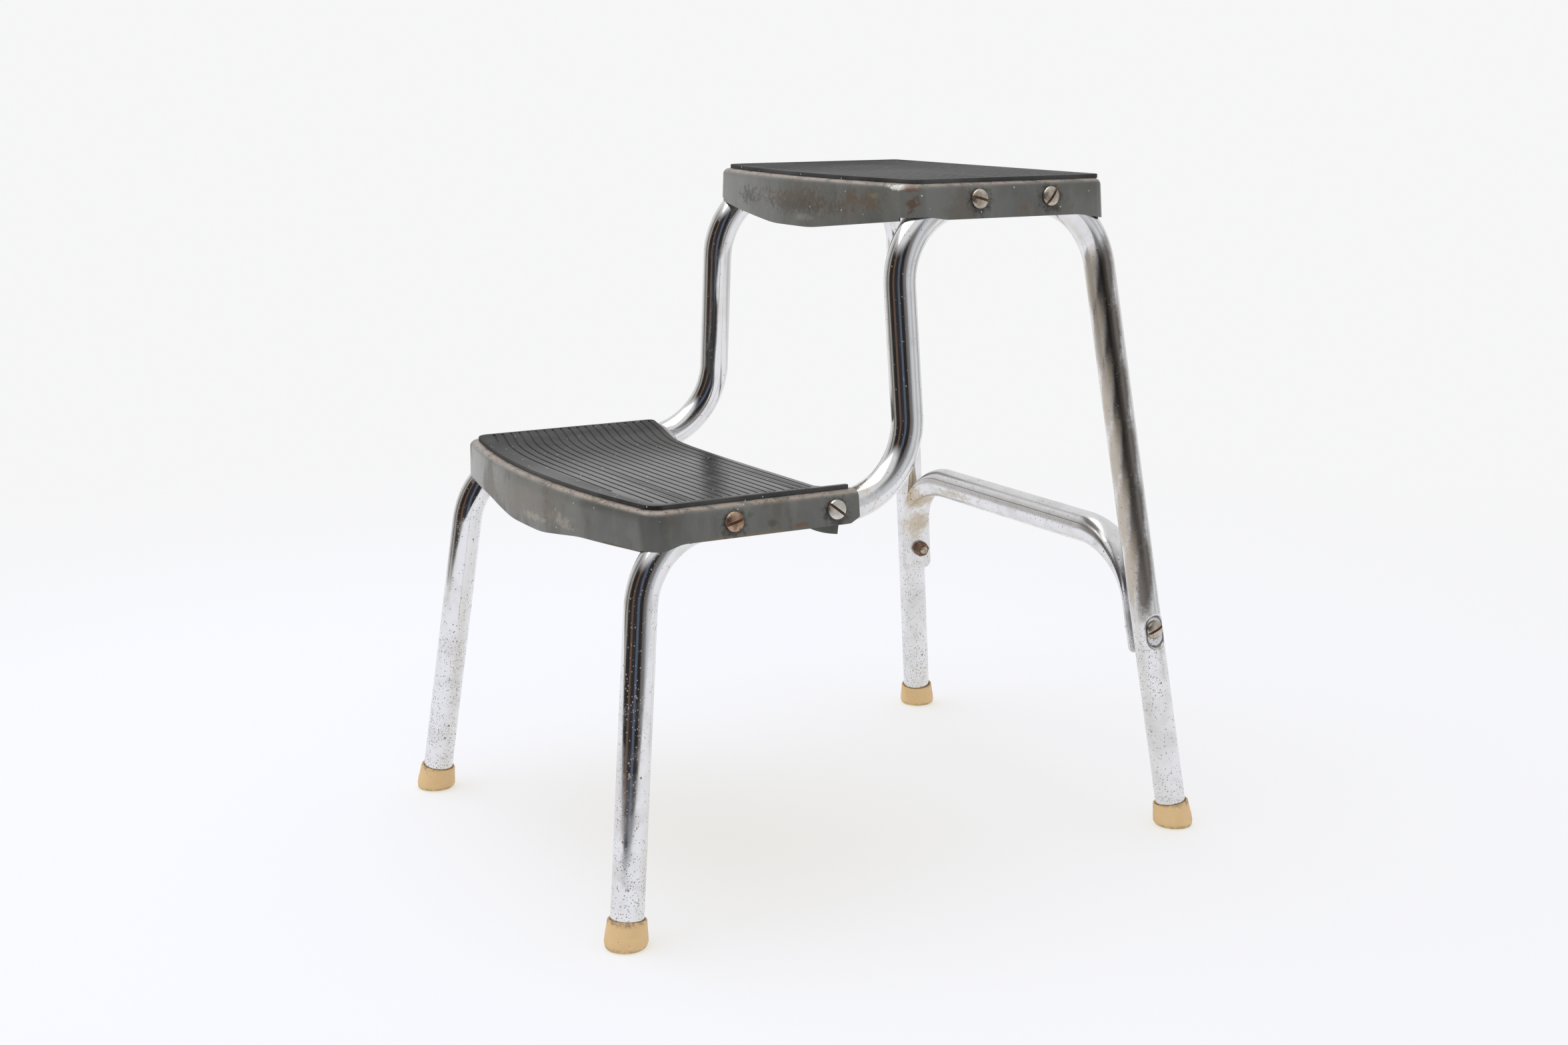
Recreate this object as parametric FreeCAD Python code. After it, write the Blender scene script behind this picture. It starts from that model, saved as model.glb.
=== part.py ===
import FreeCAD, Part
import math
import os

# Two step stool of bent steel tube with two pressed treads, in millimetres.
# +X is the user's right, -Y is the front, +Z is up, and the floor is z = 0 under the stool's centre.

# Side frames, each one bent tube in a plane that leans outward towards the floor
tubeOd = 22.2
bendRadius = 56.5
bendSteps = 5
splayAngle = 6.02
footSpacingX = 353.0
footSpacingY = 452.2
frontLegLean = 31.0
riserFootBack = 233.7
riserHeadBack = 231.4
rearLegLean = 57.4

# Tread heights over the floor, to the top of the sheet
lowerTreadHeight = 279.3
upperTreadHeight = 478.4
sheet = 1.2

# Tread outlines, measured back from the axis of the front feet
lowerFrontBack = 10.6
lowerRearBack = 161.5
lowerHornBack = 184.5
upperFrontBack = 222.4
upperRearBack = 400.2
frontBowRadius = 656.0
frontCornerRadius = 17.0
rearCornerRadius = 10.0
topEdgeRadius = 4.5
topEdgeFacets = 2
rearCurveRadius = 900.0
rearEndRadius = 200.0
rearJoinHalf = 60.0

# Skirts, as depths under the top of the sheet
tongueDepth = 35.0
tongueHalfWidth = 26.0
tongueRampWidth = 52.0
shoulderDepth = 28.5
lowerEndDepth = 26.5
lowerCornerDepth = 25.2
lowerSideDepth = 21.6
upperEndDepth = 23.6
upperCornerDepth = 21.8
upperSideDepth = 24.2
upperRearDepth = 27.6
cornerRiseWidth = 13.0
upperRearRiseWidth = 24.0
rearFlangeDepth = 20.0
rearTabDepth = 33.0
rearTabRampWidth = 48.0
rearTabFlat = 4.0
rearNotchDepth = 4.0
rearNotchDrop = 6.5
tubeSideClearance = 0.8

# Mats
matThickness = 3.0
matEdgeBevel = 0.8
matMargin = 6.4
matSideMargin = 7.5
matRearMargin = 6.0
matHornMargin = 3.0

# Screws and nuts
screwDiameter = 6.35
screwHoleClearance = 0.2
screwHeadDiameter = 13.6
screwHeadHeight = 3.4
screwHeadRim = 1.6
screwHeadTopDiameter = 9.6
screwSides = 24
shankSides = 12
slotWidth = 1.8
slotDepth = 1.6
screwEndLength = 2.5
nutAcrossFlats = 11.1
nutHeight = 5.0
lowerScrewsBack = (89.8, 166.4)
upperScrewsBack = (291.5, 351.2)
lowerSlotTurns = (15.0, -38.0)
upperSlotTurns = (-15.0, 50.0)

# Rear brace, one tube with flattened ends
braceOd = 23.8
braceHeight = 216.7
braceBendRadius = 50.0
strapWidth = 27.6
strapThickness = 3.0
strapCornerRadius = 5.0
strapBelowScrew = 19.0
braceSteps = 6
braceScrewHeight = 150.4
dimpleLength = 22.5
dimpleWidth = 14.2
dimpleDepth = 2.3
dimpleDrop = 3.0
braceSlotTurn = 15.0

# Rubber feet
footClearance = 0.1
footTopDiameter = 26.0
footDiameter = 29.0
footBaseDiameter = 27.6
footHeight = 18.4
footBulgeHeight = 3.6
footSole = 5.0
footSides = 30

splay = math.radians(splayAngle)
frontFootY = -footSpacingY / 2
tubeRadius = tubeOd / 2
lowerRunZ = lowerTreadHeight - sheet - tubeRadius
upperRunZ = upperTreadHeight - sheet - tubeRadius
holeRadius = screwDiameter / 2 + screwHoleClearance
along = FreeCAD.Vector(0, 1, 0)
up = FreeCAD.Vector(0, 0, 1)


def vec(x, y, z):
    return FreeCAD.Vector(x, y, z)


def planeX(z):
    """Distance from the stool's middle to the axis of a side frame at a height."""
    return footSpacingX / 2 - math.tan(splay) * z


def framePoint(back, z):
    """Point on the right side frame's plane, from its place behind the front feet and its height."""
    return vec(planeX(z), frontFootY + back, z)


def mirrored(shape):
    return shape.mirror(vec(0, 0, 0), vec(1, 0, 0))


outward = vec(math.cos(splay), 0, math.sin(splay))
frontFoot = framePoint(0, 0)
frontKnee = framePoint(frontLegLean, lowerRunZ)
riserFoot = framePoint(riserFootBack, lowerRunZ)
riserHead = framePoint(riserHeadBack, upperRunZ)
rearKnee = framePoint(footSpacingY - rearLegLean, upperRunZ)
rearFoot = framePoint(footSpacingY, 0)
frontLegAxis = (frontKnee - frontFoot).normalize()
rearLegAxis = (rearKnee - rearFoot).normalize()


def unit(v):
    return v * (1.0 / v.Length)


def bentPath(points, radius, steps):
    """Stations along straight runs joined by arcs of one radius, as (place, direction) pairs."""
    stations = [(points[0], unit(points[1] - points[0]))]
    for before, corner, after in zip(points, points[1:], points[2:]):
        start = unit(corner - before)
        end = unit(after - corner)
        turn = start.getAngle(end)
        inward = unit(end - start * end.dot(start))
        centre = corner - start * (radius * math.tan(turn / 2)) + inward * radius
        for i in range(steps + 1):
            angle = turn * i / steps
            ray = start * math.sin(angle) - inward * math.cos(angle)
            stations.append((centre + ray * radius, start * math.cos(angle) + inward * math.sin(angle)))
    stations.append((points[-1], unit(points[-1] - points[-2])))
    return stations


def tubeAlong(points, radius, bend, side):
    """Round bar that follows the bent path, whose plane is square to one side direction."""
    rings = []
    for place, direction in bentPath(points, bend, bendSteps):
        ring = Part.Wire(Part.Circle(vec(0, 0, 0), up, radius).toShape())
        turn = FreeCAD.Rotation(side, direction.cross(side), direction, "ZXY")
        ring.Placement = FreeCAD.Placement(place, turn)
        rings.append(ring)
    return Part.makeLoft(rings, True, True)


def ringPoints(centre, axis, reference, radius, sides):
    """Corners of a many-sided ring round an axis, for small repeated pieces."""
    return [centre + FreeCAD.Rotation(axis, 360.0 * i / sides).multVec(reference) * radius for i in range(sides)]


def flatSided(rings):
    """Solid with flat faces between rings of equally many corners."""
    faces = [polygonFace(rings[0]), polygonFace(rings[-1])]
    for low, high in zip(rings, rings[1:]):
        for i in range(len(low)):
            j = (i + 1) % len(low)
            faces.append(polygonFace([low[i], low[j], high[j], high[i]]))
    return Part.makeSolid(Part.makeShell(faces))


def polygonFace(points):
    return Part.Face(Part.makePolygon(points + [points[0]]))


def rod(middle, axis, radius, length):
    """Cylinder centred on a point."""
    return Part.makeCylinder(radius, length, middle - axis * (length / 2), axis)


def stadiumPrism(centre, axis, lengthways, length, width, height):
    """Prism of a slot's outline that starts at a centre and rises along an axis."""
    side = axis.cross(lengthways)
    half = (length - width) / 2
    r = width / 2
    a = centre + lengthways * half
    b = centre - lengthways * half
    wire = Part.Wire([
        Part.LineSegment(b + side * r, a + side * r).toShape(),
        Part.Arc(a + side * r, a + lengthways * r, a - side * r).toShape(),
        Part.LineSegment(a - side * r, b - side * r).toShape(),
        Part.Arc(b - side * r, b - lengthways * r, b + side * r).toShape(),
    ])
    return Part.Face(wire).extrude(axis * height)


def legPoint(z):
    """Point of the rear leg's axis at a height."""
    return rearFoot + rearLegAxis * (z / rearLegAxis.z)


braceAxis = unit(vec(1, 0, 0) - rearLegAxis * rearLegAxis.x)
braceScrewPoint = legPoint(braceScrewHeight)


def dimpleTool():
    """Oval recess pressed into the outside of a rear leg."""
    centre = braceScrewPoint + braceAxis * (tubeRadius - dimpleDepth) - rearLegAxis * dimpleDrop
    return stadiumPrism(centre, braceAxis, rearLegAxis, dimpleLength, dimpleWidth, tubeOd)


def frameBar():
    """Solid bar along the right side frame, from sole to sole."""
    soleFront = frontFoot + frontLegAxis * footSole
    soleRear = rearFoot + rearLegAxis * footSole
    points = [soleFront, frontKnee, riserFoot, riserHead, rearKnee, soleRear]
    return tubeAlong(points, tubeRadius, bendRadius, outward)


def sideFrame():
    """Right side frame: one bent tube, holed for its screws and dimpled at the brace."""
    frame = frameBar().cut(dimpleTool())
    for back in lowerScrewsBack:
        frame = frame.cut(rod(framePoint(back, lowerRunZ), outward, holeRadius, 2 * tubeOd))
    for back in upperScrewsBack:
        frame = frame.cut(rod(framePoint(back, upperRunZ), outward, holeRadius, 2 * tubeOd))
    return frame.cut(rod(braceScrewPoint, braceAxis, holeRadius, 2 * tubeOd))


def bowFillet(halfWidth, bowCentreY, bowRadius, cornerRadius):
    """Corner arc between the bowed front and a side, as centre and tangent points."""
    cx = halfWidth - cornerRadius
    reach = bowRadius - cornerRadius
    cy = bowCentreY - math.sqrt(reach ** 2 - cx ** 2)
    scale = bowRadius / reach
    onBow = (cx * scale, bowCentreY + (cy - bowCentreY) * scale)
    diagonal = math.atan2(onBow[1] - cy, onBow[0] - cx) / 2
    middle = (cx + cornerRadius * math.cos(diagonal), cy + cornerRadius * math.sin(diagonal))
    return onBow, middle, (halfWidth, cy)


def rearCurve(rearBack, inset, limitY):
    """Right half of the concave rear edge: middle, join and end points with points midway."""
    centreY = frontFootY + rearBack + rearCurveRadius
    middleR = rearCurveRadius + inset
    endR = rearEndRadius + inset
    joinAngle = math.asin(rearJoinHalf / rearCurveRadius)
    shift = rearCurveRadius - rearEndRadius
    endCentre = (shift * math.sin(joinAngle), centreY - shift * math.cos(joinAngle))
    endAngle = math.acos((endCentre[1] - limitY) / endR)

    def onEnd(angle):
        return (endCentre[0] + endR * math.sin(angle), endCentre[1] - endR * math.cos(angle))

    middle = (0.0, centreY - middleR)
    half = (middleR * math.sin(joinAngle / 2), centreY - middleR * math.cos(joinAngle / 2))
    return middle, half, onEnd(joinAngle), onEnd((joinAngle + endAngle) / 2), onEnd(endAngle)


def loopWire(half, z):
    """Closed outline at a height from the edges of its right half and their mirror images."""
    def at(p, side):
        return vec(side * p[0], p[1], z)

    def edge(points, side):
        if len(points) == 2:
            return Part.LineSegment(at(points[0], side), at(points[1], side)).toShape()
        return Part.Arc(*[at(p, side) for p in points]).toShape()

    right = [edge(points, 1) for points in half]
    left = [edge(points[::-1], -1) for points in half[::-1]]
    return Part.Wire(right + left)


def bowMiddle(frontY, radius, end):
    """Point of the front bow midway between the stool's middle and the corner."""
    x = end[0] / 2
    return (x, frontY + radius - math.sqrt(radius ** 2 - x ** 2))


def lowerOutline(halfWidth, inset, hornBack, z):
    """Lower tread's outline: bowed front, straight sides and a concave rear between two horns."""
    frontY = frontFootY + lowerFrontBack + inset
    radius = frontBowRadius - inset
    limitY = frontFootY + hornBack
    onBow, mid, onSide = bowFillet(halfWidth, frontY + radius, radius, frontCornerRadius - inset)
    rear = rearCurve(lowerRearBack, inset, limitY)
    half = [
        ((0.0, frontY), bowMiddle(frontY, radius, onBow), onBow),
        (onBow, mid, onSide),
        (onSide, (halfWidth, limitY)),
        ((halfWidth, limitY), rear[4]),
        (rear[4], rear[3], rear[2]),
        (rear[2], rear[1], rear[0]),
    ]
    return loopWire(half, z)


def upperOutline(halfWidth, inset, rearInset, z):
    """Upper tread's outline: bowed front, straight sides and a straight rear with round corners."""
    frontY = frontFootY + upperFrontBack + inset
    radius = frontBowRadius - inset
    rearR = rearCornerRadius - inset
    rearY = frontFootY + upperRearBack - rearInset
    onBow, mid, onSide = bowFillet(halfWidth, frontY + radius, radius, frontCornerRadius - inset)
    slant = rearR * (1 - math.sqrt(0.5))
    half = [
        ((0.0, frontY), bowMiddle(frontY, radius, onBow), onBow),
        (onBow, mid, onSide),
        (onSide, (halfWidth, rearY - rearR)),
        ((halfWidth, rearY - rearR), (halfWidth - slant, rearY - slant), (halfWidth - rearR, rearY)),
        ((halfWidth - rearR, rearY), (0.0, rearY)),
    ]
    return loopWire(half, z)


def skirtX(z, inset):
    """Half width at a height of the tread's sides, which lie flat against the side frames."""
    return planeX(z) + (tubeRadius + sheet - inset) / math.cos(splay)


def panBlock(outline, topZ, inset, depth, facets):
    """Solid of the tread's outer form, or of its hollow when inset, with a rolled top edge in facets."""
    radius = topEdgeRadius - inset
    rings = []
    for i in range(facets + 1):
        angle = math.pi / 2 * i / facets
        z = topZ - inset - radius * (1 - math.cos(angle))
        edge = inset + radius * (1 - math.sin(angle))
        rings.append(outline(skirtX(z, edge), edge, z))
    rings.append(outline(skirtX(topZ - depth, inset), inset, topZ - depth))
    return Part.makeLoft(rings, True, True)


def frontTool(topZ, endDepth, frontBack, endHalf):
    """Cutting prism under the front skirt, whose deep middle ramps up towards the corners."""
    ramp = tongueHalfWidth + tongueRampWidth
    half = [(tongueHalfWidth, tongueDepth), (ramp, shoulderDepth), (endHalf, endDepth)]
    line = [(-x, d) for x, d in half[::-1]] + half + [(endHalf, 2 * tongueDepth), (-endHalf, 2 * tongueDepth)]
    y = frontFootY - tubeOd
    backY = frontFootY + frontBack + frontCornerRadius + tubeRadius
    return prismFrom([vec(x, y, topZ - d) for x, d in line], along * (backY - y))


def prismFrom(points, direction):
    return polygonFace(points).extrude(direction)


def trimSkirts(pan, topZ, endDepth, frontBack, endHalf, sideLine):
    """Trims the front skirt to its own line, and the corners and sides to theirs."""
    pan = pan.cut(frontTool(topZ, endDepth, frontBack, endHalf))
    sides = sideProfile(sideLine, topZ)
    strip = Part.makeBox(footSpacingX, 2 * footSpacingY, 3 * tongueDepth,
                         vec(endHalf, -footSpacingY, topZ - 3 * tongueDepth))
    return pan.cut(sides.common(strip)).cut(sides.common(mirrored(strip)))


def sideProfile(points, topZ):
    """Cutting prism across the whole width from (back, depth) points of the skirts' lower line."""
    low = topZ - 2 * tongueDepth
    reach = footSpacingX
    first = points[0][0]
    last = points[-1][0]
    ring = [(b, topZ - d) for b, d in points] + [(last, low), (first, low)]
    return prismFrom([vec(-reach, frontFootY + b, z) for b, z in ring], vec(2 * reach, 0, 0))


def lowerTread():
    """Lower tread: front and side skirts, concave rear flange with tabs and open rear corners."""
    topZ = lowerTreadHeight
    outer = panBlock(
        lambda w, edge, z: lowerOutline(w, edge, lowerHornBack, z), topZ, 0, tongueDepth, topEdgeFacets)
    inner = panBlock(
        lambda w, edge, z: lowerOutline(w, edge, lowerHornBack + sheet, z), topZ, sheet, 2 * tongueDepth, 1)
    pan = outer.cut(inner)
    endHalf = skirtX(topZ, 0) - frontCornerRadius
    riseBack = lowerFrontBack + frontCornerRadius + tubeRadius
    sideLine = [
        (0, lowerCornerDepth), (riseBack, lowerCornerDepth), (riseBack + cornerRiseWidth, lowerSideDepth),
        (lowerHornBack + tubeOd, lowerSideDepth),
    ]
    pan = trimSkirts(pan, topZ, lowerEndDepth, lowerFrontBack, endHalf, sideLine)
    tabHalf = planeX(lowerRunZ) - tubeRadius - tubeSideClearance
    pan = pan.cut(tubeGaps(topZ, tabHalf))
    pan = pan.cut(rearFlangeTool(topZ, tabHalf))
    pan = pan.cut(notchTools(topZ))
    tube = frameBar()
    pan = pan.cut([tube, mirrored(tube)])
    return holedSkirts(pan, lowerScrewsBack, lowerRunZ)


def tubeGaps(topZ, tabHalf):
    """Room behind the rear flange's ends, where the tubes run out under the horns."""
    y = frontFootY + lowerRearBack
    height = 2 * tongueDepth
    width = skirtX(lowerRunZ, sheet) - tabHalf - tubeRadius / 2
    right = Part.makeBox(width, tubeOd * 2, height, vec(tabHalf, y, topZ - sheet - topEdgeRadius - height))
    return right.fuse(mirrored(right))


def rearFlangeTool(topZ, tabHalf):
    """Trims the rear flange to a shallow middle with a deeper tab at each end."""
    y = frontFootY + lowerRearBack - matMargin
    flat = tabHalf - rearTabFlat
    ramp = flat - rearTabRampWidth
    line = [
        (-tabHalf, rearTabDepth), (-flat, rearTabDepth), (-ramp, rearFlangeDepth),
        (ramp, rearFlangeDepth), (flat, rearTabDepth), (tabHalf, rearTabDepth),
        (tabHalf, 2 * tongueDepth), (-tabHalf, 2 * tongueDepth),
    ]
    return prismFrom([vec(x, y, topZ - d) for x, d in line], along * (2 * tubeOd))


def notchTools(topZ):
    """Step at the rear end of each side skirt, under the rolled edge."""
    y = frontFootY + lowerHornBack - rearNotchDepth
    x = planeX(lowerRunZ)
    right = Part.makeBox(2 * tubeOd, 2 * rearNotchDepth, 2 * tongueDepth,
                         vec(x, y, topZ - rearNotchDrop - 2 * tongueDepth))
    return right.fuse(mirrored(right))


def upperTread():
    """Upper tread: a skirt all the way round, deep at the middle of the front and along the rear."""
    topZ = upperTreadHeight
    def outline(halfWidth, edge, z):
        return upperOutline(halfWidth, edge, edge, z)

    outer = panBlock(outline, topZ, 0, tongueDepth, topEdgeFacets)
    inner = panBlock(outline, topZ, sheet, 2 * tongueDepth, 1)
    pan = outer.cut(inner)
    endHalf = skirtX(topZ, 0) - frontCornerRadius
    riseBack = upperFrontBack + frontCornerRadius + tubeRadius
    sideLine = [
        (0, upperCornerDepth), (riseBack, upperCornerDepth), (riseBack + cornerRiseWidth, upperSideDepth),
        (upperRearBack - upperRearRiseWidth, upperSideDepth), (upperRearBack - sheet, upperRearDepth),
        (upperRearBack + tubeOd, upperRearDepth),
    ]
    pan = trimSkirts(pan, topZ, upperEndDepth, upperFrontBack, endHalf, sideLine)
    pan = pan.cut(rearSkirtTool(topZ))
    return holedSkirts(pan, upperScrewsBack, upperRunZ)


def rearSkirtTool(topZ):
    """Levels the rear skirt between its corners."""
    y = frontFootY + upperRearBack - upperRearRiseWidth
    return Part.makeBox(2 * footSpacingX, 2 * upperRearRiseWidth, 2 * tongueDepth,
                        vec(-footSpacingX, y, topZ - upperRearDepth - 2 * tongueDepth))


def holedSkirts(pan, screwsBack, runZ):
    """Holes through both side skirts for the tread's screws."""
    for back in screwsBack:
        drill = rod(framePoint(back, runZ), outward, holeRadius, 2 * tubeOd)
        pan = pan.cut(drill).cut(mirrored(drill))
    return pan


def mat(outline, topZ):
    """Rubber mat on a tread, with a small bevel round its top."""
    halfWidth = skirtX(topZ, 0) - matSideMargin
    top = topZ + matThickness
    return Part.makeLoft([
        outline(halfWidth, 0, topZ),
        outline(halfWidth, 0, top - matEdgeBevel),
        outline(halfWidth - matEdgeBevel, matEdgeBevel, top),
    ], True, True)


def lowerMat():
    def outline(halfWidth, edge, z):
        return lowerOutline(halfWidth, matMargin + edge, lowerHornBack - matHornMargin - edge, z)

    return mat(outline, lowerTreadHeight)


def upperMat():
    def outline(halfWidth, edge, z):
        return upperOutline(halfWidth, matMargin + edge, matRearMargin + edge, z)

    return mat(outline, upperTreadHeight)


def flatSection(centre, thin, wide, halfThin, halfWide, squareness):
    """Closed section of four arcs, between a circle and a flat strap with round edges."""
    share = math.sqrt(0.5) ** (2.0 / squareness)
    places = [(1, 0), (share, share), (0, 1), (-share, share), (-1, 0), (-share, -share), (0, -1), (share, -share)]
    points = [centre + thin * (halfThin * t) + wide * (halfWide * w) for t, w in places]
    arcs = []
    for i in (1, 3, 5, 7):
        arcs.append(Part.Arc(points[i], points[(i + 1) % 8], points[(i + 2) % 8]).toShape())
    return Part.Wire(arcs)


def braceFrame():
    """Right bend of the brace: its start on the bar, its directions and its turn."""
    across = vec(1, 0, 0)
    down = rearLegAxis * -1
    turn = across.getAngle(down)
    corner = legPoint(braceHeight) - braceAxis * (tubeRadius + strapThickness / 2)
    barEnd = corner - across * (braceBendRadius * math.tan(turn / 2))
    inward = unit(down - across * down.dot(across))
    return barEnd, across, down, inward, turn


def braceSection(share):
    """Section of the brace's right bend, from round tube at its start to flat strap at its end."""
    barEnd, across, down, inward, turn = braceFrame()
    ease = share * share * (3 - 2 * share)
    angle = turn * share
    radial = across * math.sin(angle) - inward * math.cos(angle)
    centre = barEnd + inward * braceBendRadius + radial * braceBendRadius
    halfThin = braceOd / 2 + (strapThickness - braceOd) / 2 * ease
    halfWide = braceOd / 2 + (strapWidth - braceOd) / 2 * ease
    return flatSection(centre, radial, unit(across.cross(down)), halfThin, halfWide, 2 + 4 * ease)


def rearBrace():
    """Brace across the rear legs: a round tube whose flattened ends hang down along the legs."""
    barEnd, across, down, inward, turn = braceFrame()
    strapStart = barEnd + inward * braceBendRadius + braceAxis * braceBendRadius
    strapLength = (strapStart - braceScrewPoint).dot(rearLegAxis) + strapBelowScrew
    sections = [braceSection(i / braceSteps) for i in range(braceSteps + 1)]
    middle = sections[0].copy()
    middle.translate(across * -barEnd.x)
    end = sections[-1].copy()
    end.translate(down * strapLength)
    half = Part.makeLoft([middle] + sections + [end], True, True)
    wide = unit(across.cross(down))
    block = Part.makeBox(strapWidth * 2, strapWidth * 2, strapCornerRadius * 2)
    block.Placement = FreeCAD.Placement(
        strapStart + down * (strapLength + strapCornerRadius) - braceAxis * strapWidth - wide * strapWidth,
        FreeCAD.Rotation(braceAxis, wide, down * -1, "ZXY"))
    half = half.cut(block.cut(strapOutline(strapStart, down, wide, strapLength)))
    half = half.cut(rod(braceScrewPoint, braceAxis, holeRadius, 4 * tubeOd))
    return half.fuse(mirrored(half)).removeSplitter()


def strapOutline(start, down, wide, length):
    """Prism that rounds the lower corners of the brace's flat end."""
    half = strapWidth / 2 + strapThickness / 2
    radius = strapCornerRadius + strapThickness / 2
    slant = radius * (1 - math.sqrt(0.5))
    end = start + down * length
    rise = end - down * radius
    outer = wide * half
    inner = wide * (half - radius)
    diagonal = wide * (half - slant)
    top = start - down * strapThickness
    wire = Part.Wire([
        Part.LineSegment(top - outer, top + outer).toShape(),
        Part.LineSegment(top + outer, rise + outer).toShape(),
        Part.Arc(rise + outer, end - down * slant + diagonal, end + inner).toShape(),
        Part.LineSegment(end + inner, end - inner).toShape(),
        Part.Arc(end - inner, end - down * slant - diagonal, rise - outer).toShape(),
        Part.LineSegment(rise - outer, top - outer).toShape(),
    ])
    face = Part.Face(wire)
    face.translate(braceAxis * -strapThickness)
    return face.extrude(braceAxis * (2 * strapThickness))


def slottedScrew(seat, axis, reference, slotTurn, grip):
    """Screw whose bevelled, slotted head sits at a point and whose shank runs back from it."""
    r = screwHeadDiameter / 2
    head = flatSided([
        ringPoints(seat, axis, reference, r, screwSides),
        ringPoints(seat + axis * screwHeadRim, axis, reference, r, screwSides),
        ringPoints(seat + axis * screwHeadHeight, axis, reference, screwHeadTopDiameter / 2, screwSides),
    ])
    turned = FreeCAD.Rotation(axis, slotTurn).multVec(reference)
    across = axis.cross(turned)
    corner = seat + axis * (screwHeadHeight - slotDepth) - turned * r - across * (slotWidth / 2)
    slot = prismFrom([corner, corner + turned * (2 * r), corner + turned * (2 * r) + across * slotWidth,
                      corner + across * slotWidth], axis * (2 * slotDepth))
    ring = ringPoints(seat, axis, reference, screwDiameter / 2, shankSides)
    shank = prismFrom(ring, axis * -(grip + nutHeight + screwEndLength))
    return head.cut(slot).fuse(shank)


def hexNut(seat, axis, reference):
    """Nut whose face sits at a point and which stands out along the axis."""
    body = prismFrom(ringPoints(seat, axis, reference, nutAcrossFlats / math.sqrt(3), 6), axis * nutHeight)
    bore = ringPoints(seat - axis, axis, reference, screwDiameter / 2, shankSides)
    return body.cut(prismFrom(bore, axis * (2 * nutHeight)))


def treadFasteners(back, runZ, slotTurn):
    """Screw through a skirt and the tube, and the nut on the tube's inner side."""
    point = framePoint(back, runZ)
    headSeat = point + outward * (tubeRadius + sheet)
    nutSeat = point - outward * tubeRadius
    screw = slottedScrew(headSeat, outward, along, slotTurn, tubeOd + sheet)
    return screw, hexNut(nutSeat, outward * -1, along)


def braceFasteners():
    """Screw in the rear leg's dimple, and the nut on the brace's strap."""
    headSeat = braceScrewPoint + braceAxis * (tubeRadius - dimpleDepth)
    nutSeat = braceScrewPoint - braceAxis * (tubeRadius + strapThickness)
    grip = tubeOd - dimpleDepth + strapThickness
    across = unit(rearLegAxis.cross(braceAxis))
    screw = slottedScrew(headSeat, braceAxis, across, braceSlotTurn, grip)
    return screw, hexNut(nutSeat, braceAxis * -1, across)


def foot(floorPoint, axis):
    """Rubber cap on a leg: a bulging cup whose sole is cut level with the floor."""
    profile = (
        (-tubeRadius, footBaseDiameter), (0, footBaseDiameter),
        (footBulgeHeight, footDiameter), (footHeight, footTopDiameter),
    )
    sideways = unit(axis.cross(along))
    rings = [ringPoints(floorPoint + axis * rise, axis, sideways, size / 2, footSides) for rise, size in profile]
    bore = Part.makeCylinder(tubeRadius + footClearance, footHeight, floorPoint + axis * footSole, axis)
    ground = Part.makeBox(4 * footDiameter, 4 * footDiameter, 4 * footDiameter,
                          floorPoint - vec(2 * footDiameter, 2 * footDiameter, 4 * footDiameter))
    return flatSided(rings).cut(bore).cut(ground)


def buildNodes():
    nodes = {}
    frame = sideFrame()
    nodes["side_frame_right"] = frame
    nodes["side_frame_left"] = mirrored(frame)
    nodes["lower_tread"] = lowerTread()
    nodes["upper_tread"] = upperTread()
    nodes["lower_mat"] = lowerMat()
    nodes["upper_mat"] = upperMat()
    nodes["rear_brace"] = rearBrace()
    for name, point, axis in (("front", frontFoot, frontLegAxis), ("rear", rearFoot, rearLegAxis)):
        cap = foot(point, axis)
        nodes["foot_" + name + "_right"] = cap
        nodes["foot_" + name + "_left"] = mirrored(cap)
    levels = (
        ("lower", lowerRunZ, lowerScrewsBack, lowerSlotTurns),
        ("upper", upperRunZ, upperScrewsBack, upperSlotTurns),
    )
    for level, runZ, backs, turns in levels:
        for name, back, turn in zip(("front", "rear"), backs, turns):
            screw, nut = treadFasteners(back, runZ, turn)
            place = level + "_tread_" + name
            nodes[place + "_screw_right"] = screw
            nodes[place + "_screw_left"] = mirrored(screw)
            nodes[place + "_nut_right"] = nut
            nodes[place + "_nut_left"] = mirrored(nut)
    screw, nut = braceFasteners()
    nodes["brace_screw_right"] = screw
    nodes["brace_screw_left"] = mirrored(screw)
    nodes["brace_nut_right"] = nut
    nodes["brace_nut_left"] = mirrored(nut)
    return nodes


def main():
    os.makedirs("parts", exist_ok=True)
    for name, shape in buildNodes().items():
        shape.exportStep("parts/" + name + ".step")
        print(name, len(shape.Solids), shape.isValid(), round(shape.Volume, 1))


main()
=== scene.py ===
import bpy
import bmesh
import math
from mathutils import Matrix, Vector


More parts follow.
